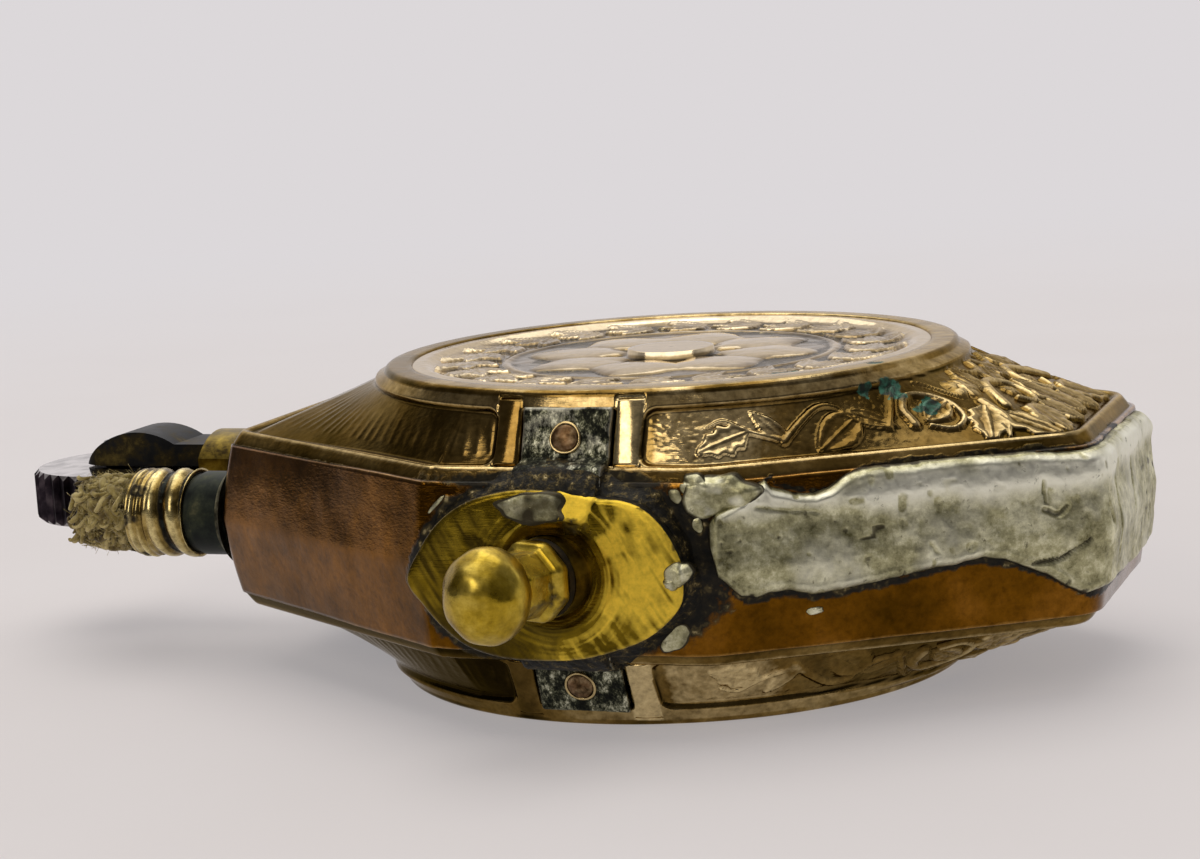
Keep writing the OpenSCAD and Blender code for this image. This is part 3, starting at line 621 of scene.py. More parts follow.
def bevel_depth(grid, t, slope, cols):
    """How deep panels and channel lie under the frame, and where a panel takes ornament."""
    long_side = is_long(cols[0])
    x = np.abs(grid[..., 0])
    up = t[:, None] * slope[None, :] - FRAME_FOOT
    down = (1 - t)[:, None] * slope[None, :] - FRAME_HEAD
    beside = np.where(long_side, x - RIB_OUT + 0.15, 9.0)
    a, b = (np.minimum(gap, PANEL_CORNER) for gap in (beside, np.minimum(up, down)))
    inside = PANEL_CORNER - np.hypot(PANEL_CORNER - a, PANEL_CORNER - b)
    channel = (step(0.12, -0.12, x - CHANNEL_HALF - 0.1) * step(0, 0.25, up)
               * step(0, 0.25, down))
    sunk = np.where(long_side & (x < 3.2), channel, step(0.0, PANEL_SLOPE, inside))
    return PANEL_DEPTH * sunk, np.where(long_side & (x < RIB_OUT), 0, step(0.2, 0.5, inside))


def flutes(grid, t):
    """Height of the feathered flutes on the wheel end's bevels."""
    mid = grid[len(grid) // 2]
    run = np.cumsum(np.linalg.norm(np.roll(mid, 1, 0) - mid, axis=1))
    wobble = layers(mid, (0.5, 2.5, 5), (0.12, 0.9, 6))
    lean = (t[:, None] - 0.5) * 0.7
    turns = run[None, :] / FLUTE_APART + wobble[None, :] + lean
    wave = 0.5 + 0.5 * np.cos(2 * math.pi * turns)
    top = 0.6 + 0.16 * noise(mid, 1.3, 9)
    window = step(0.19, 0.24, t[:, None]) * step(top + 0.2, top - 0.2, t[:, None])
    where = step(-FOLIAGE_FROM, -FOLIAGE_FROM - 0.5, mid[:, 0])
    return FLUTE_TALL * wave ** 2 * window * where * (0.6 + 0.7 * noise(grid, 2.0, 3))


print("panels lie", PANEL_DEPTH, "mm deep, flutes", FLUTE_APART, "mm apart")

# %% [markdown]
# The ornament stands on the floor of the panels: the foliage, the flutes, and between the
# leaves a ground that was punched with a fine tool. Punch marks are noise of 0.15 and
# 0.26 mm here, because single dots of that size would need ten times the points.

# %% Ornament and ribs
def ornament(ground, t, panel, silver, seed):
    """Heights of the leaves, the flutes and the punched ground."""
    near = np.stack([ground[..., 0], -np.abs(ground[..., 1]), ground[..., 2]], -1)
    leaves = 0.85 * foliage(near.reshape(-1, 3)).reshape(panel.shape) * panel
    comb = flutes(ground, t) * panel
    punch = layers(ground, (0.5, 0.26, seed + 4), (0.5, 0.15, seed + 7))
    foliate = step(FOLIAGE_FROM, FOLIAGE_FROM + 0.5, ground[..., 0])
    punch = 0.026 * punch * panel * mix(0.3, 1, foliate) * mix(1, 0.4, silver)
    return leaves, comb, punch


def rib_crown(ground, t, long_side):
    """The rounded backs of the ribs, which run out at the foot and the head."""
    across = (np.abs(ground[..., 0]) - (CHANNEL_HALF + RIB_OUT) / 2 - 0.05) / 0.75
    crown = 0.2 * np.sqrt(np.clip(1 - across ** 2, 0, 1)) * long_side
    return crown * (step(0.0, 0.06, t) * step(1.0, 0.94, t))[:, None] - 0.1 * (crown > 0)


print("rib backs in mm from the middle:", (CHANNEL_HALF + RIB_OUT) / 2 + 0.05)

# %% [markdown]
# The material asks for a relief: about 1 where the pocket rubs, -1 where oxide stays. It follows
# the heights, but not evenly. The leaves at the base end look silvery, the panel's floor is
# golden right of the strap and dusky further on, and the near side's right rib is made pale as a
# painted highlight.

# %% Wear of the bevel
HIDDEN = -0.9  # relief of surfaces that nothing rubs


def bevel_wear(ground, depth, leaves, comb, punch, silver, long_side):
    """Relief of the bevel's points."""
    x, y = ground[..., 0], ground[..., 1]
    golden = step(4, 5, x) * step(12, 9, x)
    dusky = step(10.5, 13, x)
    relief = leaves * mix(2.0, 4.7, silver) + comb * 7 + punch * 8 \
        - (0.33 + 0.05 * silver + 0.12 * dusky * (1 - silver) - 0.8 * golden) \
        * step(0.1, 0.3, depth)
    crest = step(0.16, 0.0, np.abs(depth - 0.04)) * 0.4
    wall = step(0.05, 0.2, depth) * step(0.33, 0.25, depth)
    rib = step(2.5, 2.8, np.abs(x)) * step(4.1, 3.9, np.abs(x)) * long_side * (depth < 0.02)
    # The near side's right rib is made pale: a painted highlight.
    bright = step(0, 1, x) * step(0, -1, y)
    return relief + crest + (1.5 * bright - 0.35) * rib - 0.75 * wall \
        - 0.1 * step(-FOLIAGE_FROM, -FOLIAGE_FROM - 0.5, x) * step(0.1, 0.3, depth)


print("relief of hidden surfaces:", HIDDEN)

# %% [markdown]
# Now the loft: rows for the inside of the sheet, the border, the bevel, the rim and its
# inner wall, joined to one closed ring. Each row of the border and the rim is a place in the
# profile and the wear that it has there.

# %% Loft of a stamped face
# Rows of the border as (mm inside the side, height, relief), from the band to the bevel.
BORDER_ROWS = [(1.35, 12.6, -0.9), (1.2, 12.8, -0.9), (0.82, 12.95, -0.9),
               (0.80, 13.08, -0.8), (0.86, 13.22, -0.7), (0.98, 13.42, -0.5),
               (1.1, 13.6, -0.2), (1.22, 13.78, 0.0), (1.33, 13.94, 0.3), (1.44, 14.04, 0.7),
               (1.54, 14.04, 0.5)]
# Rows of the rim as (mm inside its outer edge, mm below its top, relief).
RIM_ROWS = [(0.03, 0.24, 0.0), (0.1, 0.12, 0.0), (0.22, 0.03, 0.2), (0.38, 0.0, 0.8),
            (0.8, 0.0, 0.8), (1.2, 0.0, 0.8), (1.5, 0.0, 0.8), (1.58, 0.05, 0.6),
            (1.63, 0.16, 0.0), (1.68, 0.4, -0.6), (1.7, 0.75, -0.9)]
RIM_TOP_ROW = 4


def stamped_face(share, rows, seed):
    """The ring grid of a face and its relief. share thins out the columns."""
    cols = columns(share)
    foot = raised(outline(BORDER_IN, cols), BORDER_TOP)
    head = raised(circle(RIM_R, cols), CASE_H - RIM_ROUND)
    slope = np.linalg.norm(head - foot, axis=1)
    t = np.linspace(0, 1, rows)
    t = t + 0.06 * np.sin(4 * math.pi * t) / -2  # rows lie closer at the foot and the head
    ground = mix(foot[None], head[None], t[:, None, None])
    up = grid_normals(ground)
    silver = step(14, 19, ground[..., 0])
    depth, panel = bevel_depth(ground, t, slope, cols)
    leaves, comb, punch = ornament(ground, t, panel, silver, seed)
    dents = layers(ground, (0.05, 6, seed), (0.02, 2, seed + 1))
    height = leaves + comb + punch + rib_crown(ground, t, is_long(cols[0])) - depth \
        + dents * np.sin(math.pi * t)[:, None]
    bevel = ground + up * height[..., None]
    relief = bevel_wear(ground, depth, leaves, comb, punch, silver, is_long(cols[0]))
    border = [raised(outline(d, cols), z) for d, z, _ in BORDER_ROWS]
    rim = [raised(circle(RIM_R - d, cols), CASE_H - z) for d, z, _ in RIM_ROWS]
    rim_top = rim[RIM_TOP_ROW]
    tone = 0.8 * rough(rim_top, 1.8, seed + 9) - 0.8 * step(-6, -13, rim_top[:, 0])
    wall = PANEL_DEPTH + SHEET
    inside = [raised(circle(FIELD_R + 0.02, cols), CASE_H - 0.95),
              head - up[-1] * wall, mix(foot, head, 0.25) - up[0] * wall,
              raised(outline(1.9, cols), 12.8)]
    grid = np.array(inside + border + list(bevel[1:]) + rim)
    ones = np.ones((1, len(slope)))
    return grid, np.vstack([HIDDEN * ones] * len(inside) + [m * ones for *_, m in BORDER_ROWS]
                           + [relief[1:]] + [m + tone * ones for *_, m in RIM_ROWS])


face_grid, face_relief = stamped_face(1.0, 74, 11)
print("stamped face grid:", face_grid.shape)

# %% [markdown]
# ## Edges that no formula gives
# The filler plate was cut by hand and the solder was wiped on with a rag. Their outlines are
# lists of places that were measured on the object. A smooth curve runs through those of the
# plate, and straight lines join those of the torn solder.

# %% Edges of the plate and of the patch
# x and z in mm, round the plate.
PLATE_EDGE = np.array([
    (-8.0, 8.55), (-7.2, 10.2), (-6.1, 11.6), (-4.67, 12.58), (-3.0, 13.08), (-1.3, 13.29),
    (0.8, 13.15), (2.5, 12.9), (4.0, 12.75), (5.17, 12.3), (6.3, 11.2), (7.05, 9.7),
    (7.1, 8.6), (6.9, 7.55), (6.0, 6.5), (4.7, 5.6), (3.0, 4.95), (1.2, 4.5), (-0.8, 4.35),
    (-3.0, 4.45), (-4.9, 5.0), (-6.2, 6.0), (-7.2, 7.2)])
# Place along the patch, 0 to 1 on the slanted side and 1 to 2 on the base, and mm above the
# middle of the band.
UPPER_EDGE = [(0.016, 1.9), (0.018, 2.48), (0.038, 2.99), (0.08, 3.34), (0.107, 3.61),
              (0.124, 4.12), (0.161, 4.41), (0.171, 4.02), (0.212, 3.72), (0.253, 3.52),
              (0.279, 3.47), (0.316, 3.72), (0.361, 4.28), (0.405, 4.52), (0.598, 4.55),
              (0.814, 4.5), (0.922, 4.3), (1.0, 4.35), (1.3, 4.4), (1.9, 4.3), (1.985, 3.2)]
LOWER_EDGE = [(0.016, 1.9), (0.018, 1.42), (0.027, 0.53), (0.035, -0.26), (0.064, -0.9),
              (0.089, -1.47), (0.125, -1.55), (0.156, -1.31), (0.208, -1.36), (0.26, -1.72),
              (0.302, -1.66), (0.344, -1.57), (0.396, -1.46), (0.47, -1.29), (0.555, -1.03),
              (0.618, -0.83), (0.682, -0.75), (0.736, -0.99), (0.791, -1.42), (0.847, -1.94),
              (0.904, -2.78), (0.95, -3.24), (1.0, -3.1), (1.2, -3.0), (1.6, -3.4),
              (1.95, -3.2), (1.985, 0.5)]
print("the plate is", np.ptp(PLATE_EDGE, axis=0).round(2), "mm across")

# %% [markdown]
# ## Dirt and green bloom
# Flux, petrol and hands left a dark crust in the corner round the filler plate, and copper
# salts bloom green in two hollows of the scroll. Both are distances from a place, kept as
# attributes on every piece that lies there, so the dirt runs on from one piece to the next.

# %% Grime and verdigris by place
def from_plate(points):
    """Distance in mm outside the filler plate's edge, seen from the near side."""
    edge = curve(PLATE_EDGE, 4, loop=True)
    q = np.asarray(points)[..., [0, 2]]
    best = np.full(q.shape[:-1], 99.0)
    for a in edge:
        best = np.minimum(best, np.hypot(q[..., 0] - a[0], q[..., 1] - a[1]))
    turn = np.arctan2(q[..., 1] - MID_Z, q[..., 0])
    bound = np.interp(turn, *edge_by_angle(edge), period=2 * math.pi)
    outside = np.hypot(q[..., 0], q[..., 1] - MID_Z) > bound
    return np.where(outside, best, -best)


def edge_by_angle(edge):
    """Distance of the edge from the plate's middle, by direction."""
    turn = np.arctan2(edge[:, 1] - MID_Z, edge[:, 0])
    order = np.argsort(turn)
    return turn[order], np.hypot(edge[:, 0], edge[:, 1] - MID_Z)[order]


def patch_stain(points):
    """Burnt flux along both edges of the solder patch."""
    share = (points[..., 0] - SIDE_FLAT / 2) / (HALF_L - SIDE_FLAT / 2)
    rise = points[..., 2] - MID_Z + 0.15 * rough(points, 0.9, 22)
    low, high = (np.interp(share, *np.array(e).T) for e in (LOWER_EDGE, UPPER_EDGE))
    stain = np.maximum(step(0.45, 0.1, np.abs(rise - low + 0.1)),
                       step(0.3, 0.05, np.abs(rise - high - 0.05)))
    return 0.6 * stain * (share > 0) * (share < 1) * (points[..., 1] < 0)


def grime(points):
    """Dirt from 0 to 1: round the plate, wider on its right, and in the seam above it."""
    near = step(-14.5, -15.5, points[..., 1])
    gap = from_plate(points) + 0.75 * rough(points, 1.8, 21)
    ring = step(1.0, 0.0, gap / (1.5 + 1.3 * step(4.5, 8, points[..., 0])))
    seam = 0.5 * step(0.5, 0.1, np.abs(points[..., 2] - BAND_TOP - 0.1)) \
        * step(11, 3, np.abs(points[..., 0] + 2))
    return np.maximum(np.clip(ring + seam * step(0.9, 0, gap - 2.6), 0, 1) * near,
                      patch_stain(points))


GREEN_SPOTS = [((15.3, -8.5, 16.6), 1.3), ((14.0, -9.8, 16.9), 0.9), ((17.0, -8.3, 15.6), 1.25),
               ((13.9, -7.0, 17.6), 0.9), ((9.3, -9.0, 17.4), 1.2)]  # middle and radius


def verdigris(points):
    """Copper salts from 0 to 0.8, with a frayed edge round each green spot."""
    out = np.zeros(points.shape[:-1])
    for centre, radius in GREEN_SPOTS:
        away = np.linalg.norm(points - np.array(centre), axis=-1)
        out = np.maximum(out, step(radius, 0.2 * radius, away + 0.5 * rough(points, 0.9, 23)))
    return 0.8 * out


print("dirty share of the face:", round(float((grime(face_grid) > 0.5).mean()), 3))

# %% [markdown]
# ## Both faces as pieces
# The same die made both faces, so the rear one is the same loft upside down, with fewer columns
# because it is seen less. The step beside the band holds a line of dirt. The rear face's
# wheel-side half is darkened as painted shade.

# %% Front and rear face
def add_face(name, grid, relief, node, flip=False):
    """Adds a stamped face; the rear face is the front one upside down."""
    groove = 0.75 * step(13.45, 13.3, grid[..., 2])  # the low part of the border
    if flip:
        grid = grid * [1, 1, -1] + [0, 0, CASE_H]
        # The wheel-side half of the rear face is darkened: painted shade.
        relief = relief - 0.7 * step(2, -8, grid[..., 0])
        grid, relief, groove = grid[::-1], relief[::-1], groove[::-1]
    return piece(name, *looped_grid(grid), stamped_tombac, "stamped_brass", replaces=[node],
                 values={"relief": relief, "grime": np.maximum(grime(grid), groove),
                         "verdigris": verdigris(grid)})


front_face = add_face("front_face", face_grid, face_relief, "front_shell")
rear_face = add_face("rear_face", *stamped_face(0.72, 60, 31), "back_shell", flip=True)

# %% [markdown]
# ## The field inside the rim
# Inside the polished rim lies a sunk disc with a stamped wreath, a rosette and the flat
# button on which the lighter rests. It is a disc of its own, finer towards the motifs, and
# it runs under the rim so that no gap can show.

# %% Wreath and rosette
FIELD_Z = CASE_H - FIELD_DEPTH
WREATH_LEAVES, LEAF_HALF, LEAF_TALL = 22, 0.7, 0.24
WREATH = [(11.8, 13.5, 0.2), (11.6, 10.0, 0.2), (11.7, 11.8, 0.26)]  # start, end, turn ahead
BEADS = [(14.0, 0.1, 0.35), (9.4, 0.12, 0.25)]  # radius, height and width of two fine rings
BUTTON_R = 2.5


def field_height(points):
    """Height of wreath, rosette and rings, and of the field's slope up to the rim."""
    r = np.hypot(points[:, 0], points[:, 1])
    turn = np.arctan2(points[:, 1], points[:, 0])
    height = sum(tall * np.exp(-((r - at) / wide) ** 2) for at, tall, wide in BEADS)
    for a in 2 * math.pi * np.arange(WREATH_LEAVES) / WREATH_LEAVES:
        for start_r, end_r, ahead in WREATH:
            base, tip = [np.array([far * math.cos(b), far * math.sin(b), FIELD_Z])
                         for far, b in ((start_r, a), (end_r, a + ahead))]
            height = np.maximum(height, leaf(points, base, tip, np.array([0, 0, 1.0]),
                                             LEAF_HALF, LEAF_TALL))
    petals = 0.5 + 0.5 * np.cos(8 * turn)
    rosette = 0.26 * np.sqrt(np.clip(1 - ((r - 5.4) / (1.6 + 1.7 * petals)) ** 2, 0, 1))
    rosette = rosette * (0.55 + 0.45 * np.abs(np.cos(4 * turn)) ** 0.5)
    height = np.maximum(height, rosette * step(2.6, 3.1, r))
    return height + 0.38 * step(12.4, 14.75, r)


print("wreath of", WREATH_LEAVES * len(WREATH), "leaves")

# %% [markdown]
# The disc's rows are circles, closer together at the button's edge. Its relief is the height
# once more, so that the pocket's rubbing shows on the leaves and soot stays between them.

# %% Field discs
def field_disc(name, flip, seed, rings, spokes):
    """Adds a field: a closed disc with its ornament on the upper face."""
    r = np.concatenate([[0.4, 1.5, 2.2, 2.46, 2.52, 2.6],
                        np.linspace(2.8, FIELD_R + 0.1, rings)])
    turn = 2 * math.pi * np.arange(spokes) / spokes
    top = np.stack([r[:, None] * np.cos(turn), r[:, None] * np.sin(turn),
                    np.full((len(r), spokes), FIELD_Z)], -1)
    height = field_height(top.reshape(-1, 3)).reshape(top.shape[:2])
    height = height + layers(top, (0.03, 3, seed), (0.012, 0.5, seed + 1)) \
        * step(2.6, 3.2, r)[:, None] * step(FIELD_R, 14, r)[:, None]
    height = np.where(r[:, None] < BUTTON_R, FIELD_DEPTH, height)
    height = np.minimum(height, FIELD_DEPTH - 0.01 * (r[:, None] > BUTTON_R))
    top[..., 2] += height
    under = [row * [1, 1, 0] + [0, 0, FIELD_Z - 0.3] for row in (top[:1], top[-1:])]
    grid = np.concatenate([*under, top[::-1]])
    relief = height * 3.6 - 0.75 * step(0.12, 0.02, height) + 0.6 * rough(top, 2.5, seed + 2)
    soot = 0.5 * step(0.1, 0.03, height) * step(-0.2, 0.4, noise(top, 2.2, seed + 4))
    relief = np.vstack([HIDDEN * np.ones((2, spokes)), relief[::-1]])
    soot = np.vstack([np.zeros((2, spokes)), soot[::-1]])
    if flip:
        grid = (grid * [1, 1, -1] + [0, 0, CASE_H])[:, ::-1]
        relief, soot = relief[:, ::-1], soot[:, ::-1]
    return piece(name, *closed_grid(grid), rubbed_tombac, "stamped_brass",
                 values={"relief": relief, "grime": soot, "verdigris": verdigris(grid)})


field_disc("front_field", False, 41, 86, 420)
field_disc("rear_field", True, 47, 60, 300)

# %% [markdown]
# ## The folded edge band
# A strip folded over both faces holds the case together. It has a soft ridge half-way up,
# and years in a pocket have left shallow dents that show only in reflections. A bump map
# could draw them, but real dents also bend the edge's outline, so they are in the mesh.

# %% Edge band
RIDGE_SOFT = 0.14  # how soft the ridge's crest is, in mm
BAND_ROWS = 44
FOLD = [(1.3, BAND_TOP - 0.01), (1.3, 12.2), (0.75, MID_Z), (1.3, CASE_H - 12.2),
        (1.3, CASE_H - BAND_TOP + 0.01)]  # the band's inner side: mm in, and height


def band_inset(z):
    """How far the band's face lies inside the ridge at height z."""
    rise = np.abs(z - MID_Z)
    crest = np.sqrt(rise ** 2 + RIDGE_SOFT ** 2) - RIDGE_SOFT
    return RIDGE_OUT * crest / (BAND_H / 2 - 0.52)


def edge_band():
    cols = columns(0.8)
    low = CASE_H - BAND_TOP
    z = np.concatenate([[low + 0.01], np.linspace(low + 0.08, BAND_TOP - 0.08, BAND_ROWS),
                        [BAND_TOP - 0.01]])
    inset = [float(band_inset(h)) + (0.07 if h in (z[0], z[-1]) else 0) for h in z]
    outer = np.array([raised(outline(i, cols), h) for i, h in zip(inset, z)])
    out = grid_normals(outer)
    dents = layers(outer, (0.06, 7, 51), (0.03, 2.6, 52), (0.01, 0.9, 53))
    wear = 0.2 * (np.abs(outer[..., 2] - MID_Z) / 4.55) ** 3 * step(-12, -22, outer[..., 0])
    outer = outer + out * (dents - 0.07 - wear)[..., None]
    grid = np.concatenate([outer, [raised(outline(i, cols), h) for i, h in FOLD]])
    rise = np.abs(grid[..., 2] - MID_Z)
    relief = (0.12 * step(0.8, 0.0, rise) + 0.6 * step(4.25, 4.5, rise)
              + 0.12 * rough(grid, 3, 55) - 0.1)
    relief[-len(FOLD):] = HIDDEN
    return piece("edge_strip", *looped_grid(grid), handled_tombac, "band_copper",
                 replaces=["edge_band"],
                 values={"relief": relief, "grime": grime(grid), "verdigris": np.zeros(1)})


edge_strip = edge_band()

# %% [markdown]
# ## Helpers for turned and laid-on pieces
# The plug, the ferrule and the rivets are turned shapes: a profile swung round an axis. The
# solder, the rivets and the crust lie on metal that is already there, so a ray is shot at
# the pieces made so far to find how far out their surface stands.

# %% Turned shapes and the surface of the near side
def turned(profile, spokes, origin, axis, change=None):
    """Rows of a shape swung round an axis, from (distance along it, radius) in mm."""
    axis = unit(axis)
    first = unit(np.cross(axis, [0, 0, 1.0] if abs(axis[2]) < 0.9 else [0, 1.0, 0]))
    second = np.cross(axis, first)
    turn = 2 * math.pi * np.arange(spokes) / spokes
    along, r = [v[:, None] + np.zeros(spokes) for v in np.asarray(profile, float).T]
    if change:
        along, r = change(along, r, turn)
    return (np.asarray(origin, float) + along[..., None] * axis
            + (r * np.cos(turn))[..., None] * first + (r * np.sin(turn))[..., None] * second)


RAYS_FROM = -0.04  # metres in y, well clear of the near side


def near_side(*things):
    """A function that gives the y of the surface of these pieces, seen from the near side."""
    points, faces = [], []
    for thing in things:
        base = len(points)
        points += [v.co[:] for v in thing.data.vertices]
        faces += [[base + i for i in p.vertices] for p in thing.data.polygons]
    tree = BVHTree.FromPolygons(points, faces)

    def height(x, z):
        x, z = np.broadcast_arrays(x, z)
        hits = [tree.ray_cast((a * MM, RAYS_FROM, b * MM), (0, 1, 0))[0]
                for a, b in zip(x.ravel(), z.ravel())]
        return np.array([hit.y / MM if hit else -HALF_W + 1 for hit in hits]).reshape(x.shape)
    return height


def joined(parts):
    """Several sets of points and faces as one."""
    points, faces, base = [], [], 0
    for p, f in parts:
        points.append(p)
        faces += [[base + i for i in face] for face in f]
        base += len(p)
    return np.vstack(points), faces


print("grid of a cone:", turned([(0, 1), (1, 0)], 8, (0, 0, 0), (0, 0, 1)).shape)

# %% [markdown]
# ## The steel strap
# A hand-cut strap of mild steel runs over the long side and under the filler plate. Rust has
# eaten pits into it, and its edges are not quite straight. Pitting is a field of shallow
# craters, so it is added to the mesh, while the grain between them is left to the material.

# %% Pitted steel strap
def pitted_steel():
    """Nearly black rust with pale specks of bare steel; pale where rubbed, and on its edges a
    painted highlight.
    """
    material, tree, main, place = start("pitted_steel", Metallic=0.85)
    rust = add(tree, "Mapping", {"Vector": place, "Scale": (1.5, 1.0, 1.0)})
    cloud = add(tree, "TexNoise", {"Vector": rust, "Scale": per_mm(0.9), "Detail": 8.0,
                                   "Roughness": 0.85})
    tone = add(tree, "ValToRGB", {"Fac": cloud},
               stops=[(0.42, "#0b0c07"), (0.5, "#2b2d20"), (0.56, "#7d7d64"), (0.61, "#dad9bf")])
    relief = add(tree, "Attribute", attribute_name="relief").outputs["Fac"]
    rub_and_highlight = add(tree, "Math", {0: relief, 1: cloud}, operation="MULTIPLY")
    rub_and_highlight = add(tree, "MapRange", {"Value": rub_and_highlight, "From Min": 0.25, "From Max": 0.5})
    shade = add(tree, "Mix", {0: rub_and_highlight, 6: tone, 7: linear("#b4b2a2")}, data_type="RGBA")
    haze = add(tree, "MapRange", {"Value": cloud, "From Min": 0.35, "From Max": 0.65,
                                  "To Min": 0.6, "To Max": 0.35})
    # Grain lines from rolling, 0.1 mm apart on the real strap, drawn at 0.4 mm.
    lines = add(tree, "Mapping", {"Vector": place, "Scale": (3.0, 0.5, 0.5)})
    grain = add(tree, "TexNoise", {"Vector": lines, "Scale": per_mm(0.4), "Detail": 4.0})
    bump = add(tree, "Bump", {"Strength": 0.5, "Distance": 0.05 * MM, "Height": grain})
    feed(tree, main, {"Base Color": shade, "Roughness": haze, "Normal": bump})
    return material


strap_steel = pitted_steel()
print("finish:", strap_steel.name)

# %% [markdown]
# The strap lies in the channel of the bevel above, bends over the band, and lies in the
# channel of the bevel below. Its path is drawn once in the y-z plane, the lower half as a
# mirror of the upper. Columns across it then make a bar with rounded edges and thinned ends.

# %% Strap over the long side
# Foot and head of the near bevel in the y-z plane, the way up it and the way out of it.
FOOT = np.array([-(HALF_W - BORDER_IN), BORDER_TOP])
HEAD = np.array([-RIM_R, CASE_H - RIM_ROUND])
LEAN = unit(HEAD - FOOT)
OUT = np.array([-LEAN[1], LEAN[0]])
FACE_COLS, BACK_COLS = 46, 6


def strap_path():
    """The strap's inner face in the y-z plane, from its upper to its lower end."""
    upper = np.array([mix(FOOT, HEAD, 0.87) - OUT * 0.33, FOOT + LEAN * 0.36 - OUT * 0.33,
                      [FOOT[0] - 0.1, BORDER_TOP + 0.02], [-HALF_W + 0.7, BORDER_TOP - 0.1],
                      [-HALF_W + RIDGE_OUT - 0.05, BAND_TOP]])
    lower = upper[::-1] * [1, -1] + [0, CASE_H]
    path = np.vstack([upper, [[-HALF_W - 0.02, MID_Z]], lower])
    run = np.concatenate([[0], np.cumsum(np.linalg.norm(np.diff(path, axis=0), axis=1))])
    s = np.linspace(0, run[-1], 260)
    return np.stack([np.interp(s, run, path[:, 0]), np.interp(s, run, path[:, 1])], 1), s


def steel_strap():
    path, s = strap_path()
    slope = unit(np.gradient(path, axis=0))
    out = np.stack([slope[:, 1], -slope[:, 0]], 1)
    across = np.concatenate([np.linspace(-1, 1, FACE_COLS), np.linspace(1, -1, BACK_COLS)])
    lift = np.concatenate([np.full(FACE_COLS, STRAP_T), np.zeros(BACK_COLS)])
    lift[[0, FACE_COLS - 1]] = STRAP_T - 0.09  # the rounded edges
    end = np.minimum(s, s[-1] - s)
    lift = lift[None] * np.ones((len(s), 1)) * (0.72 + 0.28 * step(0, 0.12, end))[:, None]
    edge = STRAP_HALF - 0.03 + 0.04 * noise(np.stack([s, s, s], 1), 1.3, 61)
    yz = path[:, None] + out[:, None] * lift[..., None]
    grid = np.concatenate([(across[None] * edge[:, None])[..., None], yz], -1)
    worn = rough(grid, 1.4, 63)
    pits = -0.05 * step(0.15, 0.6, noise(grid, 0.55, 64)) \
        - 0.03 * step(0.2, 0.6, noise(grid, 0.28, 65))
    push = (pits + 0.035 * worn) * (lift > 0.3)
    grid[..., 1:] += out[:, None] * push[..., None]
    near_edge = step(0.12, 0.0, edge[:, None] * (1 - np.abs(across[None])))
    # A high relief makes the strap pale where it is rubbed, and along its edges as a painted
    # highlight. Its lower part is darkened as painted shade.
    relief = 0.5 + 0.35 * worn + pits * 6 + 0.5 * near_edge + 0.6 * step(0.25, 0, end)[:, None] \
        - 0.4 * step(12, 16, s)[:, None]
    return piece("strap", *closed_grid(grid[::-1]), strap_steel, "dark_steel",
                 replaces=["steel_strap"], values={"relief": relief[::-1]})


strap = steel_strap()

# %% [markdown]
# ## Rivets and their rings
# One copper rivet holds each end of the strap, with a small brass ring under its head. A few
# hammer blows closed each head, which left flats on the dome.

# %% Rivets and rings
def hammered(points, centre, radius, seed, blows, depth=0.03, flats=()):
    """Cuts soft flats into a ball at random places, and at the given directions."""
    q = points - np.asarray(centre)
    r = np.linalg.norm(q, axis=-1, keepdims=True)
    way = q / r
    k = np.arange(blows) + 0.5
    tilt, turn = np.arccos(1 - 2 * k / blows), math.pi * (1 + 5 ** 0.5) * k + seed
    planes = np.stack([np.sin(tilt) * np.cos(turn), np.sin(tilt) * np.sin(turn),
                       np.cos(tilt)], 1)
    cut = radius * (1 - depth * (0.7 + 0.6 * noise(planes * 9, 2, seed)))
    for direction, share in flats:
        planes, cut = np.vstack([planes, unit(direction)]), np.append(cut, radius * share)
    limit = cut / np.maximum(way @ planes.T, 0.2)
    power = 60.0  # a high power lets the nearest flat win, with a narrow round at each edge
    soft = (r ** -power + (limit ** -power).sum(-1, keepdims=True)) ** (-1 / power)
    return np.asarray(centre) + way * np.where(r > 0.8 * radius, soft, r)


def rivet_axis(upper):
    """The seat of a rivet on the strap and the direction of its head."""
    seat = FOOT + LEAN * 1.53 + OUT * (STRAP_T - PANEL_DEPTH + 0.02)
    if upper:
        return np.array([0, *seat]), np.array([0, *OUT])
    return np.array([0, seat[0], CASE_H - seat[1]]), np.array([0, OUT[0], -OUT[1]])


# Profiles as (mm out from the seat, radius): a shank with a domed head, and a bent ring.
DOME = [(-1.5, 0.44), (-0.1, 0.44), (-0.1, 0.66), (0.02, 0.7)] \
    + [(0.04 + 0.16 * math.sin(v * math.pi / 2), 0.7 * math.cos(v * math.pi / 2) + 0.002)
       for v in np.linspace(0, 1, 14)]
RING = [(-0.06, 0.72), (-0.06, 0.87), (0.03, 0.88), (0.09, 0.85), (0.11, 0.8), (0.1, 0.75),
        (0.05, 0.72)]


def rivets_and_rings():
    heads, rings = [], []
    for upper in (True, False):
        seat, axis = rivet_axis(upper)
        head = turned(DOME, 40, seat, axis)
        head += axis * (0.03 * noise(head, 0.5, 71))[..., None]
        heads.append(closed_grid(head))
        ring = turned(RING, 48, seat, axis, lambda z, r, t: (z, r * (1 + 0.02 * np.sin(3 * t))))
        ring += axis * (0.02 * noise(ring, 0.6, 73))[..., None]
        rings.append(looped_grid(ring))
    piece("rivets", *joined(heads), rivet_copper, "rivet_copper", replaces=["strap_rivets"])
    piece("rings", *joined(rings), stamped_tombac, "yellow_brass", replaces=["rivet_rings"],
          values={"relief": np.full(2 * ring[..., 0].size, 0.7)})


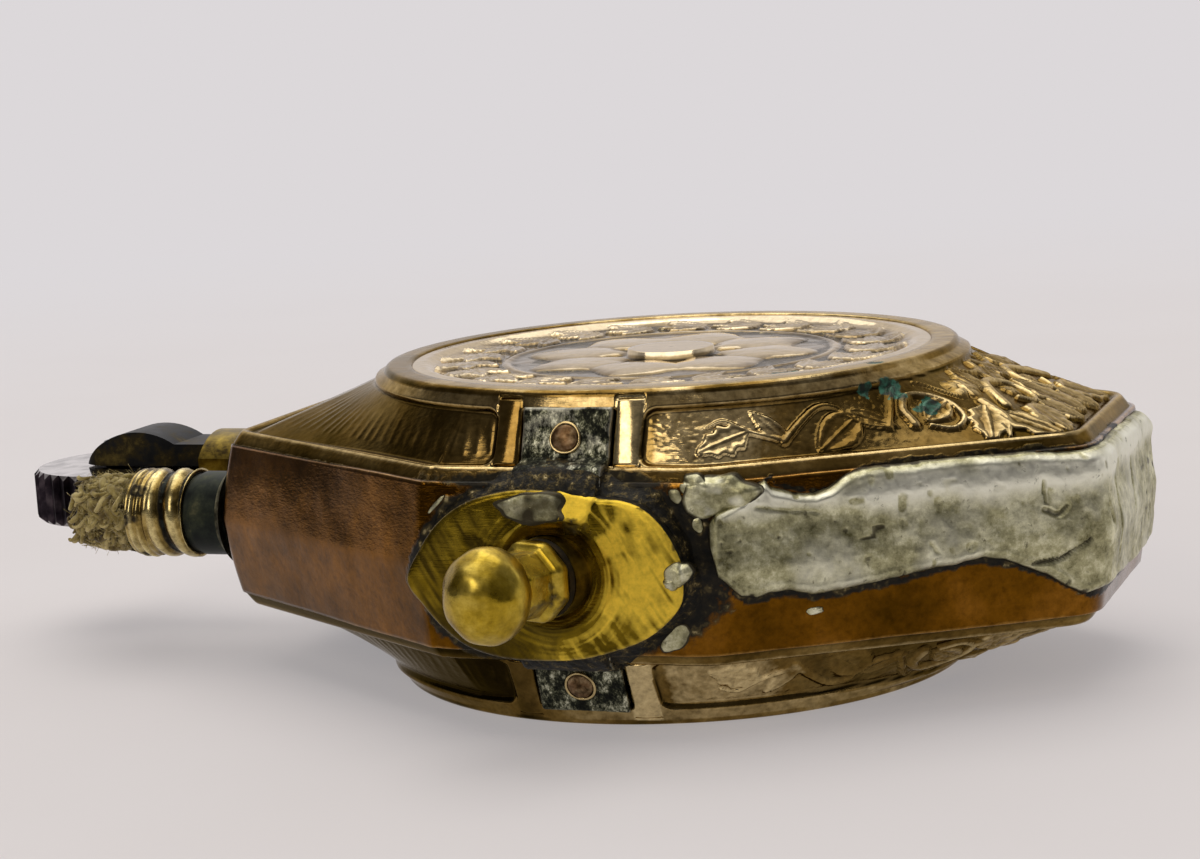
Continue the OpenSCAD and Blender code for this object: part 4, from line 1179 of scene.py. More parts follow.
# Hammered copper looks pale pinkish brown and dull, as its blows scatter the light.
rivet_copper = worn_metal(
    "hammered_copper", [(0.3, "#45321f"), (0.5, "#84674a"), (0.7, "#b39a78")], "#d3b294",
    "#301c14", cloud_mm=0.5, shine=(0.3, 0.45))
rivets_and_rings()

# %% [markdown]
# ## The filler plate
# The plate is a brass oval, bent a little to follow the band and dished round the filler. A file
# and a scraper left a flat at its right end and arcs in the dish. The flat and a filed facet are
# scraped bright and also made paler as a painted highlight, and the left end is darker as painted
# shade. Each mark is a height field of its own, 0 to 1, so that it can push the surface and rub
# the colour at once.

# %% Scraped brass and the marks of its tools
# Yellow brass, scraped to a bright yellow and left to tarnish in patches.
scraped_brass = worn_metal(
    "scraped_brass", [(0.3, "#4b3c0b"), (0.5, "#7c6616"), (0.7, "#a0872a")], "#f4d24a",
    "#4b3d12", cloud_mm=3, shine=(0.18, 0.3), depth=0.05, scraped=0.3, spotted=0.35)


def tool_marks(x, y, z, r):
    """Turned arcs, file strokes, the raised collar, a filed facet and bright rays."""
    place = np.stack([x, y, z], -1)
    turn = np.arctan2(z - MID_Z, x)
    polar = np.stack([r * 6, 2.2 * np.cos(turn), 2.2 * np.sin(turn)], -1)
    arcs = 0.5 * (noise(polar, 1.3, 82) + noise(polar * [2, 1, 1], 1.3, 87)) * step(5.2, 3.4, r)
    tilt = np.stack([(x + 0.6 * z) * 5, (z - 0.6 * x) * 0.7, 0 * x], -1)
    filed = (noise(tilt, 1, 88) + noise(tilt[..., [1, 0, 2]], 1, 89)) * step(3.0, 4.0, r)
    collar = 0.06 * step(2.1, 2.3, r) * step(3.3, 2.7, r) * (1 + 0.8 * noise(place, 1.1, 90))
    facet = step(0.6, 0.85, x + 0.4 * noise(place, 0.7, 78)) \
        * step(2.6, 2.2, x + 0.4 * (12.6 - z)) \
        * step(11.6, 12.0, z + 0.3 * noise(place, 0.8, 77))
    spread = np.stack([r * 0.5, 8 * np.cos(turn), 8 * np.sin(turn)], -1)
    rays = step(0.0, 0.5, noise(spread, 1, 79)) * step(5.8, 4.4, r) * step(2.2, 2.8, r) \
        * step(MID_Z - 1, MID_Z + 1, z - 0.3 * x)
    return arcs, filed, collar, facet, rays


print("finish of the plate:", scraped_brass.name)

# %% [markdown]
# The plate's rows run from the hole out to the edge, over it and back along the inner face,
# so the plate is one closed ring of quads. The last eight rows of the front lie close
# together and drop, which rounds the edge.

# %% Filler plate
BEND_Y, BEND_R, BACK_R = 1.32, 21.97, 20.97  # middle of the bend, its outer and inner radius
DISH_Y, DISH_R, DISH_OUT = -20.2, 14.0, 5  # deepest point of the dish, its radii
HOLE_X, HOLE_R = -0.15, 2.14
ROUND_FROM, ROUND_DROP = 0.9, 0.22  # share of the way out where the edge's rounding starts


def bend_y(z, radius):
    return BEND_Y - np.sqrt(radius ** 2 - (z - MID_Z) ** 2)


def plate_front(x, z):
    """The y of the plate's outer face with its dish, and the distance from its middle."""
    r = np.hypot(x, z - MID_Z)
    dish = DISH_Y - DISH_R + np.sqrt(np.maximum(DISH_R ** 2 - r * r, 0))
    return np.maximum(bend_y(z, BEND_R), np.where(r < DISH_OUT, dish, -99)), r


def filler_plate():
    edge = curve(PLATE_EDGE, 14, loop=True)
    turn = np.arctan2(edge[:, 1] - MID_Z, edge[:, 0])
    hole = np.stack([HOLE_X + HOLE_R * np.cos(turn), MID_Z + HOLE_R * np.sin(turn)], 1)
    share = np.concatenate([np.linspace(0, ROUND_FROM, 62),
                            ROUND_FROM + 0.1 * np.sin(np.linspace(0.2, 1.57, 8))])
    flat = mix(hole[None], edge[None], share[:, None, None])
    x, z = flat[..., 0], flat[..., 1]
    y, r = plate_front(x, z)
    place = np.stack([x, y, z], -1)
    arcs, filed, collar, facet, rays = tool_marks(x, y, z, r)
    dents = layers(place, (0.06, 2.6, 83), (0.02, 0.8, 84))
    bulge = (np.clip(share - ROUND_FROM, 0, 1) / 0.1) ** 2
    edge_drop = ROUND_DROP * (1 - np.sqrt(np.clip(1 - bulge, 0, 1)))
    y = y + 0.05 - (0.012 * arcs + 0.004 * filed + dents + collar) + edge_drop[:, None] \
        + 0.36 * facet * (z - 12.2)
    # Rows behind the front: the edge's wall, the inner face and the back of the hole.
    wall = [np.stack([edge[:, 0], y[-1] + d, edge[:, 1]], -1) for d in (0.15, 0.35, 0.6)]
    back_y = bend_y(edge[:, 1], BACK_R)
    back = [np.stack([edge[:, 0] * k, back_y, MID_Z + (edge[:, 1] - MID_Z) * k], -1)
            for k in (0.985, 0.7)]
    hole_back = np.stack([hole[:, 0], bend_y(hole[:, 1], BACK_R), hole[:, 1]], -1)
    grid = np.concatenate([np.stack([x, y, z], -1), wall, back, [hole_back]])
    behind = np.ones((len(grid) - len(share), len(edge)))
    rim = step(0.9, 0.97, share)[:, None]
    # The right flat and the filed facet are paler both from scraping and as a painted highlight.
    # The left end is darkened as painted shade, and the plate is darker towards the bottom.
    flat_part = step(1.4, 1.9, x - 0.25 * (z - 11) * (z < 11)) * step(2.9, 3.4, r)
    relief = 0.9 * flat_part + 0.3 * rough(place, 2.2, 81) + 0.05 * step(4.6, 3.4, r) \
        + 0.9 * arcs + 0.3 * filed + 1.5 * collar + 0.25 * rim - 0.15 \
        - 0.25 * step(-2.5, -4.5, x) - 0.5 * step(7.8, 6.2, z) + 2.0 * facet - 0.7 * rays
    dirt = 0.4 * step(4.4, 3.0, r) * step(0.0, 0.8, noise(place, 1.3, 85)) \
        + 0.35 * step(0.93, 1.0, share)[:, None] * (noise(place, 1.0, 86) > 0.1)
    return piece("plate", *looped_grid(grid), scraped_brass, "yellow_brass",
                 replaces=["filler_plate"],
                 values={"relief": np.vstack([relief, -0.5 * behind]),
                         "grime": np.vstack([dirt, behind])})


plate = filler_plate()

# %% [markdown]
# ## The filler plug
# The plug is a turned piece with a ball that was dressed with a hammer. Its neck has eight
# flats for a spanner, and its shank carries the thread, which shows once it is drawn out.

# %% Filler plug
# Bright yellow brass in many small dull facets, the cleanest metal on the lighter.
hammered_brass = worn_metal(
    "hammered_brass", [(0.3, "#806810"), (0.5, "#ba9c2e"), (0.7, "#d8bd4e")], "#e8d272",
    "#4d3c0e", cloud_mm=2.2, shine=(0.24, 0.36), spotted=0.45)
PLUG_AXIS = np.array([-0.309017, -0.951057, 0.0])
PLUG_ORIGIN = np.array([0, -20.2, MID_Z])
SEAT, NECK_END, BALL_AT, BALL_R = 1.0, 3.62, 5.05, 2.2  # places along the axis, and a radius
THREAD, THREAD_DEEP, THREAD_L = 0.5, 0.22, 4.1  # pitch, depth and length
# Large flats that face the viewer, as (direction, share of the radius that they leave).
BIG_FLATS = [((-0.15, -1.0, -0.12), 0.93), ((0.75, -0.6, 0.45), 0.93),
             ((0.8, -0.55, -0.5), 0.94), ((-0.2, -0.5, 0.9), 0.955), ((0.4, -0.7, 0.75), 0.95)]


def plug_shape(z, r, turn):
    """Thread on the shank and eight flats on the neck."""
    wave = np.abs(2 * ((z / THREAD - turn / (2 * math.pi)) % 1) - 1)
    r = np.where((z < SEAT - 0.25) & (z > SEAT - THREAD_L), r - THREAD_DEEP * wave, r)
    flats = (r - 0.12) / np.cos((turn + math.pi / 8) % (math.pi / 4) - math.pi / 8)
    return z, np.where((z > SEAT + 0.05) & (z < NECK_END), np.minimum(r, flats), r)


def filler_plug():
    shank = [(SEAT - 4.2, 1.05)] + [(z, 1.39) for z in np.arange(SEAT - THREAD_L, SEAT, 0.06)]
    neck = [(SEAT, 1.5), (SEAT + 0.02, 1.9), (SEAT + 0.08, 2.12), (SEAT + 0.2, 2.17),
            (SEAT + 0.75, 2.15), (SEAT + 0.87, 2.05), (SEAT + 0.93, 1.8)] \
        + [(z, 1.82 - 0.03 * (z - SEAT)) for z in np.linspace(SEAT + 1.0, 3.6, 10)] \
        + [(3.66, 1.66)]
    ball = [(BALL_AT - BALL_R * math.cos(a), BALL_R * math.sin(a))
            for a in np.linspace(0.83, 3.13, 84)]
    grid = turned(shank + neck + ball, 120, PLUG_ORIGIN, PLUG_AXIS, plug_shape)
    first = len(shank) + len(neck)
    centre = PLUG_ORIGIN + PLUG_AXIS * BALL_AT
    grid[first:] = hammered(grid[first:], centre, BALL_R, 91, 34, 0.028, BIG_FLATS)
    ball = grid[first:] - centre
    ball *= (1.02 + 0.012 * noise(grid[first:], 1.2, 92)
             + 0.003 * noise(grid[first:], 0.35, 93))[..., None]
    grid[first:] = centre + ball * [1, 1, 1.12]  # the ball is a little taller than wide
    relief = 0.35 * rough(grid, 1.8, 94) + 0.12
    relief[:first] += 0.05
    dirt = np.zeros(grid.shape[:2])
    dirt[:first] = 0.35 * step(-0.2, 0.5, noise(grid[:first], 0.9, 95))
    return piece("plug_ball_and_shank", *closed_grid(grid), hammered_brass, "yellow_brass",
                 body="plug", replaces=["filler_plug"],
                 values={"relief": relief, "grime": dirt})


filler_plug()

# %% [markdown]
# ## The solder patch
# A thick wipe of soft solder closes a crack along the slanted side and wraps round the base.
# Lead and tin oxidise to a dull warm grey that is still a metal, whiter where it is rubbed
# and brown in its pits. The specks are flux pores of 0.1 mm, drawn at 0.5 mm.

# %% Soft solder finish
def soft_solder():
    material, tree, main, place = start("soft_solder", Metallic=0.9)
    cloud = add(tree, "TexNoise", {"Vector": place, "Scale": per_mm(1.5), "Detail": 9.0,
                                   "Roughness": 0.78})
    shade = add(tree, "ValToRGB", {"Fac": cloud},
                stops=[(0.34, "#65613f"), (0.5, "#aeaa84"), (0.64, "#e2dfbd")])
    relief = add(tree, "Attribute", attribute_name="relief").outputs["Fac"]
    speck = add(tree, "TexNoise", {"Vector": place, "Scale": per_mm(0.5), "Detail": 4.0,
                                   "Roughness": 0.7})
    for value, none, full, colour in ((relief, 0.2, 1.0, "#efeedb"),
                                      (relief, -0.15, -0.8, "#3c3729"),
                                      (speck, 0.38, 0.24, "#5d5843")):
        share = add(tree, "MapRange", {"Value": value, "From Min": none, "From Max": full})
        shade = add(tree, "Mix", {0: share, 6: shade, 7: linear(colour)}, data_type="RGBA")
    haze = add(tree, "MapRange", {"Value": speck, "From Min": 0.35, "From Max": 0.65,
                                  "To Min": 0.52, "To Max": 0.34})
    bump = add(tree, "Bump", {"Strength": 0.6, "Distance": 0.06 * MM, "Height": speck})
    feed(tree, main, {"Base Color": shade, "Roughness": haze, "Normal": bump})
    return material


solder = soft_solder()
print("finish:", solder.name)

# %% [markdown]
# The patch is laid out flat: stations along the case, and points across each station. Two
# edge lines give its torn outline. Tears are strokes, as the stems were, but sunk.

# %% Outline and tears of the patch
BASE_SLANT_L, BASE_L = 21.7, END_FLAT
# Each tear is a path of (mm along, mm above the middle), a width and a strength.
TEARS = [([(18.2, 3.0), (18.25, 1.9)], 0.12, 0.8),
         ([(18.2, 1.5), (18.9, 1.2), (19.5, 1.6)], 0.2, 1),
         ([(11.9, 0.4), (12.2, -0.1)], 0.12, 0.5),
         ([(17.5, -1.25), (18.9, -1.1), (19.7, -0.7), (20.6, -0.2)], 0.16, 1),
         ([(2.9, 3.15), (4.4, 2.85), (6.1, 2.6)], 0.1, 0.6),
         ([(22.2, 1.3), (22.5, 0.4)], 0.2, 0.5), ([(24.0, 2.4), (24.3, -1.5)], 0.2, 0.5),
         ([(28.6, 2.6), (28.2, 0.2)], 0.2, 0.5), ([(14.0, 0.0), (14.15, 0.1)], 0.28, 0.6)]


def patch_run(place):
    """Millimetres along the patch: the slanted side counts 0 to 1, the base 1 to 2."""
    return np.where(place < 1, place * BASE_SLANT_L, BASE_SLANT_L + (place - 1) * BASE_L)


def patch_edges(place):
    """Lower and upper edge at each station, frayed except at the very start."""
    run = patch_run(place)
    spot = np.stack([run, run * 0, run * 0], -1)
    low, high = (np.interp(place, *np.array(line).T)
                 + fray * rough(spot, size, seed) * (place > 0.03) for line, fray, size, seed in
                 ((LOWER_EDGE, 0.1, 1.1, 101), (UPPER_EDGE, 0.07, 1.0, 102)))
    return low, np.maximum(high, low)


def tears_and_pores(spot):
    tears = np.zeros(spot[..., 0].size)
    for path, width, strength in TEARS:
        tears = np.maximum(tears, stroke(spot.reshape(-1, 3)[:, [0, 2]], path, width,
                                         strength, 0.7))
    pores = step(0.62, 0.8, noise(spot, 0.5, 108)) * step(-0.1, 0.5, noise(spot, 5, 109))
    return tears.reshape(spot.shape[:2]), pores


print("the patch is", patch_run(np.array(1.984)).round(1), "mm long")

# %% [markdown]
# Its thickness rises steeply from both edges, with a lip that drew back as it froze, swells
# to a roll near the top, and is lumpy in between. A thickness map on the band would stretch
# over the torn edge, so the patch is a closed piece of its own, pressed a little into the
# band, and its inner side has three columns only.

# %% Solder patch
SKIN, RISE_MM, SUNK = 0.36, 0.42, 0.05  # plain thickness, width of its rise, depth in the band
INNER_COLS = (56, 33, 10)


def solder_patch():
    place = np.concatenate([np.linspace(0.0165, 0.05, 26)[:-1], np.linspace(0.05, 0.95, 190),
                            np.linspace(0.955, 1.06, 34), np.linspace(1.07, 1.96, 110),
                            np.linspace(1.962, 1.984, 12)])
    low, high = patch_edges(place)
    across = np.linspace(0, 1, 66)
    across = across - 0.035 * np.sin(4 * math.pi * across)
    rise = mix(low[:, None], high[:, None], across[None])
    run = patch_run(place)[:, None] + np.zeros_like(rise)
    spot = np.stack([run, np.zeros_like(rise), rise], -1)
    start_gap = np.minimum(run - run[0], run[-1] - run)
    gap = np.minimum(np.minimum(rise - low[:, None], high[:, None] - rise),
                     start_gap * 0.8 + 0.02)
    body = np.sqrt(np.clip(1 - (1 - np.clip(gap / RISE_MM, 0, 1)) ** 2, 0, 1))
    roll = 0.24 * np.exp(-((rise - 3.4 - 0.3 * noise(spot, 4, 103)) / 0.75) ** 2)
    lip = 0.07 * np.exp(-((gap - 0.4) / 0.22) ** 2)
    lumps = layers(spot, (0.09, 3.2, 104), (0.05, 1.3, 105), (0.022, 0.5, 106),
                   (0.01, 0.22, 107))
    tears, pores = tears_and_pores(spot)
    thick = body * (SKIN + roll + lip + lumps) - 0.2 * tears * body - 0.05 * pores * body - SUNK
    side = np.where(run < BASE_SLANT_L, NEAR_BASE, BASE_END)
    u = np.where(run < BASE_SLANT_L, run / BASE_SLANT_L, (run - BASE_SLANT_L) / BASE_L)
    z = MID_Z + rise
    front = np.concatenate([outline(band_inset(z) - thick, (side, u)), z[..., None]], -1)
    back = [np.concatenate([outline(band_inset(z[:, k:k + 1]) + 0.35, (side[:, :1], u[:, :1])),
                            z[:, k:k + 1, None]], -1) for k in INNER_COLS]
    grid = np.concatenate([front, *back], 1)
    relief = 3.6 * roll + 4 * lumps + 1.6 * lip - 0.9 * tears - 0.7 * pores \
        - 0.9 * step(0.16, 0.02, gap) + 0.15
    relief = np.hstack([relief, -np.ones((len(place), len(back)))])
    return piece("patch_of_solder", *closed_grid(grid[:, ::-1]), solder, "grey_solder",
                 replaces=["solder_patch"], values={"relief": relief[:, ::-1]})


solder_patch()

# %% [markdown]
# ## Stray solder and crust
# Drops of solder froze beside the patch and round the plate, and a dark crust of old flux
# fills the corner along the plate's edge. Each drop is a small irregular mound laid on the
# surface that a ray finds below it. A plain ball would float over the ribs' corners.

# %% Drops of solder
# x and z, half length and half width, tilt, height, and how light the drop is.
DROPS = [
    (8.6, 12.75, 1.75, 1.1, 0.1, 0.7, 0.1), (7.3, 13.3, 0.8, 0.55, -0.3, 0.22, 0.0),
    (6.95, 9.15, 0.8, 0.62, 0.6, 0.5, 0.2), (6.6, 8.7, 0.45, 0.35, 0.2, 0.4, 0.1),
    (5.95, 5.35, 1.1, 0.5, 0.62, 0.14, -0.25), (12.5, 6.35, 0.4, 0.2, 0.1, 0.12, 0.2),
    (-0.9, 12.45, 1.95, 0.8, -0.08, 0.06, -0.55), (6.35, 12.8, 0.45, 0.3, -0.7, 0.2, -0.1),
    (-6.9, 12.2, 0.7, 0.12, 0.75, 0.08, -0.3), (7.5, 11.3, 0.28, 0.4, 0.1, 0.16, -0.2),
]
DROP_COLS = 48


def drops_of_solder():
    under = near_side(front_face, rear_face, edge_strip, strap, plate)
    turn = 2 * math.pi * np.arange(DROP_COLS) / DROP_COLS
    share = np.sin(np.linspace(0.03, 1.5, 15))
    parts, reliefs = [], []
    for k, (x0, z0, a, b, tilt, tall, tone) in enumerate(DROPS):
        ring = np.stack([np.cos(turn), np.sin(turn), turn * 0 + k], 1)
        wobble = 1 + 0.25 * noise(ring, 0.6, k)
        u = share[:, None] * a * wobble * np.cos(turn)
        v = share[:, None] * b * wobble * np.sin(turn)
        x = x0 + u * math.cos(tilt) - v * math.sin(tilt)
        z = z0 + u * math.sin(tilt) + v * math.cos(tilt)
        base = under(x, z)
        spot = np.stack([x, base, z], -1)
        mound = np.sqrt(np.clip(1 - share ** 2.2, 0, 1))[:, None] * tall * 0.65
        mound = mound * (1 + 0.25 * noise(spot, 0.8, 111)) + 0.015 * noise(spot, 0.3, 112)
        # The drop bridges hollows: its bed follows the surface at the edge only.
        bed = np.minimum(base, np.median(base) + 0.3)
        bed = mix(np.median(bed), bed, share[:, None] ** 3)
        top = np.stack([x, np.minimum(bed - mound, base - 0.4 * mound), z], -1)
        parts.append(closed_grid(np.concatenate([top, top[-1:] + [0, 0.25, 0]])[::-1]))
        light = tone + noise(spot, 0.5, 113) * 0.6 - step(0.84, 0.97, share)[:, None]
        reliefs += [np.vstack([light, -np.ones((1, DROP_COLS))])[::-1].ravel(), [0, 0]]
    piece("drops_of_solder", *joined(parts), solder, "grey_solder", replaces=["solder_blobs"],
          values={"relief": np.concatenate(reliefs)})


drops_of_solder()

# %% [markdown]
# The crust is soot, flux and brass dust: nearly black and only partly metallic, with olive
# and golden specks. The specks are about a tenth of a millimetre, drawn at a quarter. It
# covers the seam between plate and band, as dirt does, so it stands in for no CAD part.

# %% Crust round the plate
def old_crust():
    material, tree, main, place = start("old_flux_crust", Roughness=0.5, Metallic=0.7)
    cloud = add(tree, "TexNoise", {"Vector": place, "Scale": per_mm(0.5), "Detail": 8.0,
                                   "Roughness": 0.8})
    tone = add(tree, "ValToRGB", {"Fac": cloud},
               stops=[(0.42, "#080703"), (0.52, "#1e1a0c"), (0.6, "#5b4d28"), (0.68, "#c0b184")])
    grain = add(tree, "TexNoise", {"Vector": place, "Scale": per_mm(0.25), "Detail": 4.0})
    bump = add(tree, "Bump", {"Strength": 0.7, "Distance": 0.08 * MM, "Height": grain})
    feed(tree, main, {"Base Color": tone, "Normal": bump})
    return material


def crust_round_plate():
    under = near_side(front_face, rear_face, edge_strip, strap)
    edge = curve(PLATE_EDGE, 16, loop=True)
    along = np.roll(edge, -1, 0) - np.roll(edge, 1, 0)
    out = unit(np.stack([-along[:, 1], along[:, 0]], 1))
    spot = np.stack([edge[:, 0], edge[:, 0] * 0, edge[:, 1]], 1)
    by_strap = step(4.2, 2.2, np.abs(edge[:, 0]))
    width = 0.55 + 0.6 * by_strap + 0.35 * noise(spot, 2.5, 121) + 0.2 * noise(spot, 0.8, 122)
    share = np.linspace(-0.5, 1, 18)  # from under the plate to the crust's outer edge
    reach = share[None] * np.where(share > 0, width[:, None], 0.9)
    flat = edge[:, None] + out[:, None] * reach[..., None]
    x, z = flat[..., 0], flat[..., 1]
    base = np.minimum(under(x, z), -17.4)
    spot = np.stack([x, base, z], -1)
    tall = 0.62 + 0.2 * noise(spot, 1.4, 123)
    fall = np.clip(share, 0, 1)
    height = tall * (1 - fall) ** 1.3 + 0.1 * rough(spot, 0.7, 124) * (1 - fall ** 3) - 0.03
    top = np.stack([x, base - height, z], -1)
    low = np.stack([top[:, -1] + [0, 0.3, 0], top[:, 0] + [0, 0.3, 0]], 1)
    points, faces = looped_grid(np.concatenate([top, low], 1))
    piece("crust_round_plate", points, faces[:, ::-1], old_crust(), "grey_solder")


crust_round_plate()

# %% [markdown]
# ## The ferrule
# Two coarse threads are left at the inner end of the brass ferrule, the rest is worn rough.
# A true helix is as easy as rings: the phase of the wave grows with the turn.

# %% Ferrule
TUBE_Z, WICK_Y, FLINT_Y = 8.7, -4.4, 3.3
FERRULE_END, WICK_TIP = -32.6, -37.2
PITCH = 1.42
# Pale golden brass, rubbed on the threads and spotted between them.
thread_brass = worn_metal(
    "thread_brass", [(0.3, "#6a572c"), (0.5, "#a38b4f"), (0.7, "#c8b274")], "#f2dfa0", "#33290f",
    cloud_mm=1.2, shine=(0.18, 0.3), spotted=0.7)


def coarse_thread(z, r, turn):
    """Cuts a thread into the outer wall, deeper towards the inner end."""
    wave = 0.5 + 0.5 * np.cos(2 * math.pi * ((z - 3.15) / PITCH - turn / (2 * math.pi)))
    deep = mix(0.08, 0.36, step(1.1, 1.7, z)) * step(0, 0.25, z) * step(3.85, 3.65, z)
    return z, r - deep * (1 - wave ** 0.6) * (r > 2.45)


def ferrule():
    rows = [(3.85, 2.37), (3.84, 2.55)] + [(z, 2.68) for z in np.linspace(3.81, 0.1, 90)] \
        + [(0.04, 2.62), (0.0, 2.5), (0.02, 2.4), (0.3, 2.37)]
    grid = turned(rows[::-1], 120, (FERRULE_END, WICK_Y, TUBE_Z), (1, 0, 0), coarse_thread)
    centre = np.array([0, WICK_Y, TUBE_Z])
    out = unit((grid - centre) * [0, 1, 1])
    mouth = step(FERRULE_END + 1.7, FERRULE_END + 1.2, grid[..., 0])
    knocks = layers(grid, (0.03, 1.2, 131), (0.05 * mouth, 0.7, 132), (0.012, 0.3, 133))
    grid += out * (knocks - 0.02)[..., None]
    grid += out * (0.045 * mouth * np.cos(2 * math.pi * grid[..., 0] / 0.46))[..., None]
    r = np.linalg.norm((grid - centre) * [0, 1, 1], axis=-1)
    relief = (r - 2.5) * 5 + 0.25 * noise(grid, 0.8, 134) - 0.15 * mouth - 0.1
    dirt = 0.5 * step(2.5, 2.38, r) + 0.5 * mouth * step(0.0, 0.6, noise(grid, 0.8, 135))
    piece("ferrule", *looped_grid(grid), thread_brass, "yellow_brass",
          replaces=["wick_ferrule"], values={"relief": relief, "grime": dirt})


ferrule()

# %% [markdown]
# ## The wick
# Cotton scatters light in its fibres, so it has no gloss, only a faint sheen. It is oily and
# yellow, and it is darkened as painted shade where the fibres lie deep. Single fibres are 0.02
# mm, and the bump pattern draws them at 0.12 mm.

# %% Cotton finish
def cotton(name, stops):
    material, tree, main, place = start(name, Roughness=1.0, Sheen_Weight=0.3)
    cloud = add(tree, "TexNoise", {"Vector": place, "Scale": per_mm(0.7), "Detail": 5.0})
    # The depth attribute darkens fibres that lie deep in the wick or in a crease of the wad:
    # painted shade.
    depth = add(tree, "Attribute", attribute_name="depth").outputs["Fac"]
    value = add(tree, "Math", {0: cloud, 1: depth}, operation="SUBTRACT")
    tone = add(tree, "ValToRGB", {"Fac": value}, stops=stops)
    fibre = add(tree, "TexNoise", {"Vector": place, "Scale": per_mm(0.12), "Detail": 3.0})
    bump = add(tree, "Bump", {"Strength": 0.6, "Distance": 0.05 * MM, "Height": fibre})
    feed(tree, main, {"Base Color": tone, "Normal": bump})
    return material


wick_cotton = cotton("cotton_wick", [(0.05, "#2a210d"), (0.25, "#665629"), (0.45, "#96864a"),
                                     (0.7, "#c4b47a")])
print("finish:", wick_cotton.name)

# %% [markdown]
# The wick is twisted yarn that spread where it was cut. Hair curves would be lost in the
# export, so every strand is a thin closed tube. Three functions yield them one by one: the
# yarns of three strands, tufts that wind round the outside, and loose fibres. All draw from
# one seeded generator, so the wick frays in the same way on every run.

# %% Yarns
CORE = np.array([0, WICK_Y, TUBE_Z])
RINGS_OF_YARN = ((0.3, 2), (1.0, 6), (1.45, 9))  # radius and number of yarns
STRAND_TWIST = 3.2  # radians per mm


def tube(path, radius, sides):
    """A tube along a path; radius has one value per point."""
    along = unit(np.gradient(path, axis=0))
    side = unit(np.cross(along, [0.3, 0.2, 1.0]))
    other = np.cross(along, side)
    turn = 2 * math.pi * np.arange(sides) / sides
    return path[:, None] + radius[:, None, None] * (
        np.cos(turn)[:, None] * side[:, None] + np.sin(turn)[:, None] * other[:, None])


def round_core(x, r, turn):
    return np.stack([x, CORE[1] + r * np.cos(turn), CORE[2] + r * np.sin(turn)], 1)


def yarns(rng):
    for ring, count in RINGS_OF_YARN:
        for k in range(count):
            end = WICK_TIP + 1.2 + rng.uniform(-0.5, 0.6)
            x = np.concatenate([np.linspace(-14.0, -32.2, 12), np.linspace(-32.3, end, 34)])
            out = step(-32.4, WICK_TIP + 0.9, x)  # 0 in the ferrule, 1 at the cut
            turn = 2 * math.pi * (k / count + ring) + (x + 32) * 0.3 \
                + out * rng.uniform(-0.9, 0.9)
            r = ring * (1 - 0.12 * step(-31, -30, x)) \
                + 0.4 * np.sin(math.pi * np.clip(out * 0.9, 0, 1)) * rng.uniform(0.4, 1.2)
            path = round_core(x, r, turn)
            path += 0.22 * out[:, None] * np.stack([noise(path, 0.8, 140 + i)
                                                    for i in range(3)], 1)
            thick = 0.5 * (1 - 0.35 * step(0.75, 1, out)) * (1 + 0.2 * noise(path, 0.5, 144))
            for j in range(3):
                twist = 2 * math.pi * j / 3 + x * STRAND_TWIST
                aside = np.stack([0 * x, np.cos(twist), np.sin(twist)], 1)
                yield (path + thick[:, None] * 0.5 * aside, thick * 0.6, 7,
                       0.3 - 0.16 * ring + 0.06 * noise(path, 1, 145))


print("yarns:", sum(count for _, count in RINGS_OF_YARN))

# %% Tufts and loose fibres
TUFTS, FIBRES = 300, 2600


def tufts(rng):
    """Every third one starts at the cut and runs across it."""
    for k in range(TUFTS):
        turn, x = rng.uniform(0, 2 * math.pi), rng.uniform(-35.9, -32.9)
        if k % 3 == 0:
            x = -35.9 + 0.3 * rng.normal()
        s = np.linspace(0, 1, 18)
        turns = turn + s * rng.uniform(-0.4, 0.7) + 0.12 * np.sin(s * 6 + k)
        reach = 1.95 + 0.12 * np.sin(s * rng.uniform(4, 8) + k) + 0.12 * rng.normal()
        if k % 3 == 0:
            reach = reach * mix(0.95, rng.uniform(0.1, 0.9), s)
        along = x - s * rng.uniform(0.5, 1.4) + 0.1 * np.cos(s * rng.uniform(4, 8) + k)
        path = round_core(np.maximum(along, WICK_TIP + 0.15), reach, turns)
        yield (path, rng.uniform(0.12, 0.22) * np.sin(math.pi * mix(0.12, 0.9, s)) ** 0.5
               * (1 + 0.25 * noise(path, 0.25, 146)), 7,
               0.12 * rng.normal() + 0.6 * (2.1 - reach))


def fibres(rng):
    """Every fourth one stands on the cut."""
    for k in range(FIBRES):
        turn, x = rng.uniform(0, 2 * math.pi), rng.uniform(-36.2, -32.7)
        r = 2.1 + 0.12 * rng.normal()
        if k % 4 == 0:
            x, r = -36.1 + rng.normal() * 0.15, 1.9 * math.sqrt(rng.uniform())
        radial = np.array([0, math.cos(turn), math.sin(turn)])
        sideways = np.array([0, -math.sin(turn), math.cos(turn)])
        lean = 0.9 + rng.normal() * 0.8
        way = math.cos(lean) * np.array([-1.0, 0, 0]) + math.sin(lean) * sideways \
            + radial * rng.normal() * 0.25
        s = np.linspace(0, 1, 7)[:, None] * rng.uniform(0.3, 0.8)
        path = np.array([x, *CORE[1:]]) + radial * r + s * way * 0.6 \
            + s * s * (rng.normal(size=3) * 0.5 - radial * 0.2)
        path[:, 0] = np.maximum(path[:, 0], WICK_TIP + 0.03)
        yield (path, np.full(7, rng.uniform(0.009, 0.018)), 3,
               np.full(7, -0.1 + 0.1 * rng.normal()))


print("tufts:", TUFTS, "fibres:", FIBRES)

